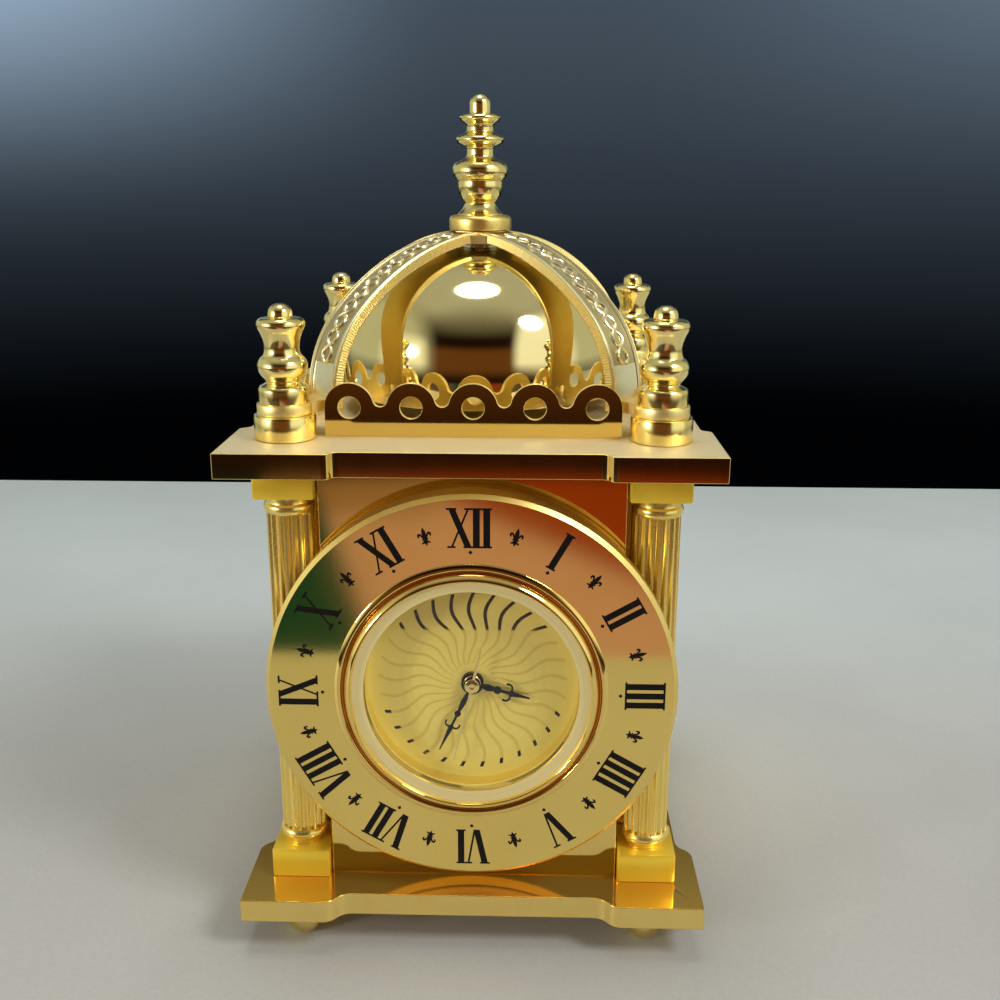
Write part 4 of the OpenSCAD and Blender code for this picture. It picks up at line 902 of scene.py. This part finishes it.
def make_hub(bm, steps=16):
    """Square shell that fills the corners where the straps cross."""
    centre_z = Z_CROWN - CROWN_R
    ticks = [HUB_HALF * (2 * k / steps - 1) for k in range(steps + 1)]
    grids = []
    for radius in (CROWN_R - HUB_SINK, CROWN_R - STRAP_T + HUB_RISE):
        grid = [[bm.verts.new((x, FRAME_Y + y, centre_z + math.sqrt(radius ** 2 - x * x - y * y)))
                 for y in ticks] for x in ticks]
        grids.append(grid)
        for a, b in zip(grid, grid[1:]):
            for k in range(steps):
                bm.faces.new((a[k], a[k + 1], b[k + 1], b[k])).material_index = FIELD
    rims = [g[0] + [row[-1] for row in g[1:]] + g[-1][-2::-1] + [row[0] for row in g[-2:0:-1]]
            for g in grids]
    for k in range(len(rims[0])):
        n = (k + 1) % len(rims[0])
        bm.faces.new((rims[0][k], rims[0][n], rims[1][n], rims[1][k])).material_index = EDGE


make_straps()


def make_chains():
    """Chain relief on the four legs of the straps."""
    reach = CHAIN_TO - CHAIN_FROM
    for name, corner in CORNERS.items():
        along, across = leg_axes(corner)
        points = []
        for i in range(CHAIN_POINTS + 1):
            at, out = on_strap(along, CHAIN_FROM + reach * i / CHAIN_POINTS)
            points.append(tuple((at - out * CHAIN_SINK) * MM))
        mesh = bpy.data.meshes.new("chain_path_" + name)
        mesh.from_pydata(points, [(i, i + 1) for i in range(CHAIN_POINTS)], [])
        chain = grow("strap_chain_" + name, mesh, CHAIN,
                     {"Side": tuple(across), "Pitch": reach / CHAIN_EYES * MM, "Spread": CHAIN_SPREAD * MM,
                      "Weave": CHAIN_WEAVE * MM, "Strand": STRAND_R * MM, "Material": STRAP_CHAIN})
        enrol(chain, "clock", "antique_gold")


make_chains()

# Turned outlines from the foot up: (radius, height)
DRUM_R, COLLAR_R = 3.87, 4.3
CORNER_PROFILE = (
    eased([(0.0, 0.0), (3.1, 0.0), (3.13, 0.15), (3.13, 1.75), (2.95, 2.1), (2.45, 2.35)], 0.12)
    + flow([(2.3, 2.45), (2.12, 2.65), (2.25, 2.95), (2.6, 3.35), (2.95, 3.9), (3.1, 4.55), (3.0, 5.1),
            (2.75, 5.5), (2.4, 5.85)], 5)
    + flow([(2.32, 5.98), (2.2, 6.4), (2.18, 7.0), (2.3, 7.8), (2.55, 8.55), (2.75, 8.95)], 5)
    + flow([(2.82, 9.08), (2.95, 9.4), (2.98, 9.75), (2.88, 10.1), (2.55, 10.4), (2.0, 10.5),
            (1.6, 10.53)], 5)
    + flow([(1.52, 10.6), (1.5, 10.95), (1.38, 11.45), (1.05, 11.85), (0.6, 12.1), (0.0, 12.2)], 5))


def make_corner_finials():
    """Four turned corner finials and the drums under them."""
    base = span("corner_finial_front_left")[0].z
    for name, place in AT_POSTS.items():
        turned("finial_" + name, [(r, base + h) for r, h in CORNER_PROFILE], [place], [TURNED], "clock",
               "polished_gold", ["corner_finial_" + name], steps=80, sharp=40)
    low, high = span("finial_drums")
    drum = eased([(0.0, low.z), (DRUM_R, low.z), (DRUM_R, high.z), (0.0, high.z)], 0.35)
    turned("drums_turned", drum, AT_POSTS.values(), [TURNED], "clock", "satin_gold", ["finial_drums"],
           steps=80, sharp=40)


make_corner_finials()

TOP_PROFILE = (
    eased([(0.0, 0.0), (3.15, 0.0), (3.15, 0.15)], 0.05)
    + flow([(3.05, 0.25), (2.75, 0.5), (2.4, 0.95), (2.15, 1.5), (2.3, 1.85), (2.6, 2.25), (2.92, 2.85),
            (3.08, 3.5), (3.12, 4.0), (3.1, 4.5)], 5)
    + eased([(3.12, 4.56), (3.3, 4.6), (3.3, 4.75), (3.34, 4.8)], 0.04)
    + flow([(3.4, 4.85), (3.72, 5.25), (3.83, 5.82), (3.74, 6.35), (3.4, 6.85), (2.7, 7.2)], 5)
    + flow([(2.1, 7.45), (1.87, 7.8), (1.84, 8.4), (1.9, 8.85), (2.15, 9.05)], 5)
    + flow([(2.4, 9.1), (2.6, 9.2), (3.1, 9.5), (3.3, 9.9), (3.15, 10.25), (2.6, 10.55)], 5)
    + flow([(2.1, 10.75), (1.88, 11.0), (1.86, 11.3), (1.88, 11.6), (2.0, 11.95)], 5)
    + flow([(2.15, 12.05), (2.3, 12.15), (2.65, 12.4), (2.82, 12.75), (2.6, 13.05), (2.0, 13.25),
            (1.55, 13.32)], 5)
    + flow([(1.43, 13.38), (1.43, 14.0), (1.42, 14.6), (1.25, 15.1), (0.9, 15.5), (0.4, 15.75),
            (0.0, 15.8)], 5))


def make_top_finial():
    """Turned top finial and its collar."""
    base = span("top_finial")[0].z
    turned("top_finial_turned", [(r, base + h) for r, h in TOP_PROFILE], [AT_MIDDLE], [TURNED], "clock",
           "polished_gold", ["top_finial"], sharp=40)
    low, high = span("finial_collar")
    collar = [(STUD_BORE, low.z), (COLLAR_R, low.z), (COLLAR_R, high.z - 0.5),
              (COLLAR_R - 0.3, high.z - 0.12), (COLLAR_R - 0.9, high.z), (STUD_BORE, high.z)]
    turned("collar_turned", eased(collar, 0.14, closed=True), [AT_MIDDLE], [SATIN_EDGE], "clock",
           "polished_gold", ["finial_collar"], closed=True, sharp=40)


make_top_finial()

# Chapter ring and its filling
RING_R = span("chapter_ring")[1].x
RING_FACE = span("chapter_ring")[0].y
RIM_EASE, NEAR = 0.3, 0.05
FILL_SINK = 0.06


def rework_ring(bm):
    """Ease the ring's front rim and make all but its face satin."""
    for face in bm.faces:
        face.material_index = 0 if face.normal.y < -0.9 else 1

    def on_rim(v):
        return abs(v.co.y - RING_FACE) < NEAR and math.hypot(v.co.x, v.co.z - DIAL_Z) > RING_R - NEAR

    rim = [e for e in bm.edges if all(on_rim(v) for v in e.verts)]
    bmesh.ops.bevel(bm, geom=rim, offset=RIM_EASE, segments=3, profile=0.5, affect="EDGES", material=1)


skin("chapter_ring", [MIRROR_RING, SATIN_EDGE], sharp=30, flat=1, rework=rework_ring)
for filling in ("chapter_numerals", "half_hour_marks"):
    skin(filling, [ENAMEL], sharp=30, shift=(0, FILL_SINK, 0), flat=1)


# Dial insert: bezel outline from its seat over the roll to the cone's foot, (radius, height over its face)
BEZEL_FACE, BEZEL_STEPS = 3.7, 160
# Radii of the bezel's channel, which is painted dark brown as shade
GROOVE_FROM, GROOVE_TO = 16.0, 16.62
BEZEL_SEAT = [(14.4, -0.3), (15.4, -0.3), (15.4, 0.0)]
BEZEL_RIM = eased([(17.3, 0.0), (17.4, 0.0), (17.4, 0.1), (17.3, 0.16)], 0.04)
BEZEL_ROLL = flow([(17.2, 0.2), (16.95, 0.29), (16.74, 0.31), (16.6, 0.25), (16.5, 0.11), (16.4, 0.05),
                   (16.28, 0.14), (16.1, 0.4), (15.88, 0.66), (15.66, 0.84), (15.44, 0.92), (15.3, 0.89),
                   (15.22, 0.76), (15.18, 0.56)], 4)
BEZEL_CONE_LINE = [(15.14, 0.44), (13.74, 0.02), (13.7, -0.06), (13.7, -0.25), (14.4, -0.25)]
CRYSTAL_R = 14.3


def make_bezel():
    """Polished flange and roll with painted shade in the channel between them, then a turned cone down to the
    crystal.
    """
    outside = BEZEL_SEAT + BEZEL_RIM + BEZEL_ROLL
    profile = [(r, BEZEL_FACE + h) for r, h in outside + BEZEL_CONE_LINE]
    bm = bmesh.new()
    for i, face in enumerate(spin(bm, profile, on_dial, BEZEL_STEPS, closed=True)):
        row = i // BEZEL_STEPS
        in_shaded_groove = GROOVE_FROM < profile[row][0] < GROOVE_TO
        face.material_index = 1 if row == len(outside) else 2 if in_shaded_groove else 0
    piece("bezel_turned", bm, [MIRROR, BEZEL_CONE, GROOVE_PAINTED_SHADE], "insert", "polished_gold", ["bezel"],
          sharp=32)


make_bezel()


def make_crystal():
    """Flat crystal with an eased edge."""
    low, high = span("crystal")
    front, back = DIAL_Y - low.y, DIAL_Y - high.y
    disc = eased([(0.0, back), (CRYSTAL_R, back), (CRYSTAL_R, front), (0.0, front)], 0.15)
    turned("crystal_clear", disc, [on_dial], [GLASS], "insert", "clear_crystal", ["crystal"], steps=128)


make_crystal()
skin("sight_ring", [SIGHT])
skin("dial", [CHAMPAGNE])

# Section of a ray, (share of its half width, height), and its half width at the inner end and what it gains
RAY_SECTION = [(-1.1, -0.01), (-1, 0.02), (1, 0.02), (1.1, -0.01)]
RAY_HALF, RAY_GAIN, RAY_GROWTH = 0.08, 0.14, 1.6


def ray_strip(steps=44):
    """One wavy ray of the dial, a thin flat strip along +Z from the dial axis with eased edges."""
    bm = bmesh.new()
    rows = []
    for i in range(steps + 1):
        t = i / steps
        r = RAY_FROM + (RAY_TO - RAY_FROM) * t
        sway = RAY_SWAY * math.cos(2 * math.pi * (r - RAY_CREST) / RAY_WAVE)
        half = RAY_HALF + RAY_GAIN * min(1.0, t * RAY_GROWTH)
        rows.append([bm.verts.new((sway + side * half, DIAL_Y - height, DIAL_Z + r))
                     for side, height in RAY_SECTION])
    for low, high in zip(rows, rows[1:]):
        for k in range(len(RAY_SECTION) - 1):
            bm.faces.new((low[k], low[k + 1], high[k + 1], high[k]))
    bm.faces.new(rows[0])
    bm.faces.new(rows[-1])
    return finish_mesh(bm, "ray", sharp=20)


rays = grow("dial_rays", ray_strip(), ROUND_COPIES,
            {"Count": RAY_COUNT, "Axis": (0, 1, 0), "Centre": (0, DIAL_Y * MM, DIAL_Z * MM),
             "Material": RAYS})
enrol(rays, "insert", "champagne_dial")

# Hands
eased_solid("hour_hand", [ENAMEL], width=0.035, segments=2)
eased_solid("minute_hand", [ENAMEL], width=0.035, segments=2)
eased_solid("seconds_hand", [TURNED], width=0.03, segments=2)
CAP_PROFILE = [(0.95, -0.02), (0.9, 0.03), (0.6, 0.09), (0.36, 0.12), (0.3, 0.06), (0.0, 0.04)]


def make_seconds_cap():
    """Domed cap on the seconds hand."""
    front = DIAL_Y - span("seconds_hand")[0].y
    cap = flow([(r, front + h) for r, h in CAP_PROFILE], 4)
    turned("seconds_cap", cap, [on_dial], [TURNED], "seconds", "polished_gold", steps=48)


make_seconds_cap()

# Pieces seen only when the insert is out, and those inside
PLAIN = {
    "insert_cup": CUP, "friction_band": RUBBER, "crystal_gasket": GASKET, "main_plate": BLACK_PLASTIC,
    "train_bridge": STEEL, "movement_screws": STEEL, "circuit_board": BOARD, "quartz_can": STEEL,
    "coil": COPPER, "stator": STEEL, "button_cell": STEEL, "cell_contact": TRAIN, "hour_wheel": TRAIN,
    "centre_wheel": TRAIN, "seconds_wheel": TRAIN, "minute_wheel": TRAIN, "third_wheel": TRAIN,
    "intermediate_wheel": TRAIN, "rotor": STEEL, "set_knob": BLACK_PLASTIC, "battery_hatch": BLACK_PLASTIC,
    "tie_rods": STEEL, "bell_washer": STEEL, "bell_stud": STEEL, "bell_nut": STEEL,
}
for node, material in PLAIN.items():
    skin(node, [material])


# Stage, light and camera
TABLE_LOW, TABLE_HIGH = (-420, -128, -12), (420, 212, 0)
LAMP_AIM = Vector((0, 0, 0.07))
LAMPS = {"overhead": ((-0.015, 0.015, 0.57), 0.2, 0.85), "right_front": ((0.3, -0.225, 0.4), 0.15, 1.15),
         "left_front": ((-0.405, -0.285, 0.14), 0.1, 0.75)}

# The camera's place in millimetres, its tilt down, turn and roll in degrees, and its lens
CAMERA_AT = Vector((6.89, -161.05, 100.34))
CAMERA_TILT, CAMERA_TURN, CAMERA_ROLL = 15.883, -1.431, 0.159
FOCAL_PIXELS, PICTURE_PIXELS, SENSOR = 1138.2, 1000, 36


def make_table():
    """Pale table top that is a little lighter towards the back."""
    bm = bmesh.new()
    block(bm, TABLE_LOW, TABLE_HIGH, 1.5)
    f = Finish("pale_table")
    cloud = f.noise(60, 4)
    fine = f.noise(0.8, 4)
    far = f.node("ShaderNodeSeparateXYZ", {}, {0: f.place}, out=1).step(-0.03, 0.16)
    pale = f.mix(far, tone(0.46, 0.45, 0.43), tone(0.68, 0.735, 0.735))
    shade = f.mix(far, tone(0.365, 0.355, 0.34), tone(0.56, 0.605, 0.61))
    mottle = cloud.step(0.3, 0.7) * 0.35 + fine.step(0.4, 0.7) * 0.2
    material = f.set(Base_Color=f.mix(mottle, pale, shade), Roughness=fine * 0.1 + 0.55,
                     Normal=f.bump(fine, 0.03))
    new_object("table_top", finish_mesh(bm, "table_top"), [material])


def hang_lamps():
    """Round soft lamps that face the clock: place, width and power."""
    for name, (where, width, power) in LAMPS.items():
        lamp = bpy.data.lights.new(name, "AREA")
        lamp.shape = "DISK"
        lamp.size = width
        lamp.energy = power
        obj = bpy.data.objects.new(name, lamp)
        obj.location = where
        obj.rotation_euler = (LAMP_AIM - obj.location).to_track_quat("-Z", "Y").to_euler()
        bpy.context.scene.collection.objects.link(obj)


def paint_room():
    """Dim room by direction (x right, y away, z up): dark behind, coloured ground and pale walls in front."""
    world = bpy.data.worlds.new("dim_room")
    bpy.context.scene.world = world
    world.use_nodes = True
    w = Work(world.node_tree)
    axes = w.add("ShaderNodeSeparateXYZ", {}, {0: w.node("ShaderNodeTexCoord", out=0)})
    x, y, z = (Value(w, axes.outputs[i]) for i in range(3))
    sideways = x.math("ABSOLUTE")

    night, dusk, blue_side = tone(0.0005, 0.0007, 0.001), tone(0.066, 0.09, 0.12), tone(0.4, 0.54, 0.7)
    backdrop = w.mix(z.step(-0.2, 0.24), night, dusk)
    side = (x.step(-0.05, -0.5) + x.step(0.05, 0.5) * 0.25) * z.step(-0.1, 0.2) ** 2
    backdrop = w.mix(side, backdrop, blue_side)
    backdrop = w.mix(z.step(0.24, 0.4), backdrop, tone(0.03, 0.032, 0.03))
    backdrop = w.mix(z.step(0.5, 0.62), backdrop, tone(0.24, 0.25, 0.28))

    rose, red, brown, green = (tone(0.46, 0.275, 0.27), tone(0.24, 0.038, 0.005), tone(0.26, 0.15, 0.09),
                               tone(0.007, 0.05, 0.034))
    ground = w.mix((z + x * 0.375).step(-0.31, -0.292) * x.step(-0.1, -0.06), rose, red)
    ground = w.mix(z.step(-0.3, -0.27) * x.step(-0.06, -0.1), ground, brown)
    ground = w.mix((x + z * 0.4).step(-0.278, -0.3), ground, green)
    ground = w.mix(sideways.step(0.26, 0.36), ground, tone(0.1, 0.065, 0.045))

    room = w.mix(z.step(-0.262, -0.245), ground, tone(0.012, 0.005, 0.003))
    room = w.mix(z.step(-0.24, -0.1) * (1 - z.step(0.15, 0.35)), room, tone(0.12, 0.045, 0.012))
    room = w.mix(z.step(0.4, 0.8), room, tone(0.16, 0.15, 0.11))
    around = w.mix(y.step(0.12, -0.12), backdrop, room)
    walls = sideways.step(0.5, 0.8) * z.step(-0.25, -0.05)
    around = w.mix(walls, around, tone(0.48, 0.5, 0.4))

    front = y.step(0.05, -0.25) * z.step(-0.2, -0.02)
    right_glow = x.step(0.42, 0.58) * (1 - z.step(0.66, 0.84))
    left_glow = x.step(-0.6, -0.76) * (1 - z.step(0.25, 0.5))
    around = w.mix(front * (right_glow + left_glow), around, tone(0.95, 0.98, 0.88))
    ceiling = z.step(0.6, 0.88) * y.step(-0.8, -0.15)
    around = w.mix(ceiling, around, tone(0.42, 0.43, 0.38))
    w.plug(world.node_tree.nodes["Background"].inputs["Color"], around)


def place_camera():
    """Camera where the photograph was taken."""
    tilt, turn, roll = (math.radians(v) for v in (CAMERA_TILT, CAMERA_TURN, CAMERA_ROLL))
    ahead = Vector((math.sin(turn) * math.cos(tilt), math.cos(turn) * math.cos(tilt), -math.sin(tilt)))
    right = Vector((math.cos(turn), -math.sin(turn), 0))
    up = right.cross(ahead)
    right, up = right * math.cos(roll) + up * math.sin(roll), up * math.cos(roll) - right * math.sin(roll)
    lens = bpy.data.cameras.new("front_camera")
    lens.sensor_width = SENSOR
    lens.lens = FOCAL_PIXELS * SENSOR / PICTURE_PIXELS
    lens.clip_start = 2 * MM
    obj = bpy.data.objects.new("front_camera", lens)
    facing = Matrix((right, up, -ahead)).transposed().to_4x4()
    obj.matrix_world = Matrix.Translation(CAMERA_AT * MM) @ facing
    bpy.context.scene.collection.objects.link(obj)
    bpy.context.scene.camera = obj


make_table()
hang_lamps()
paint_room()
place_camera()
bpy.context.scene.view_settings.view_transform = "Standard"
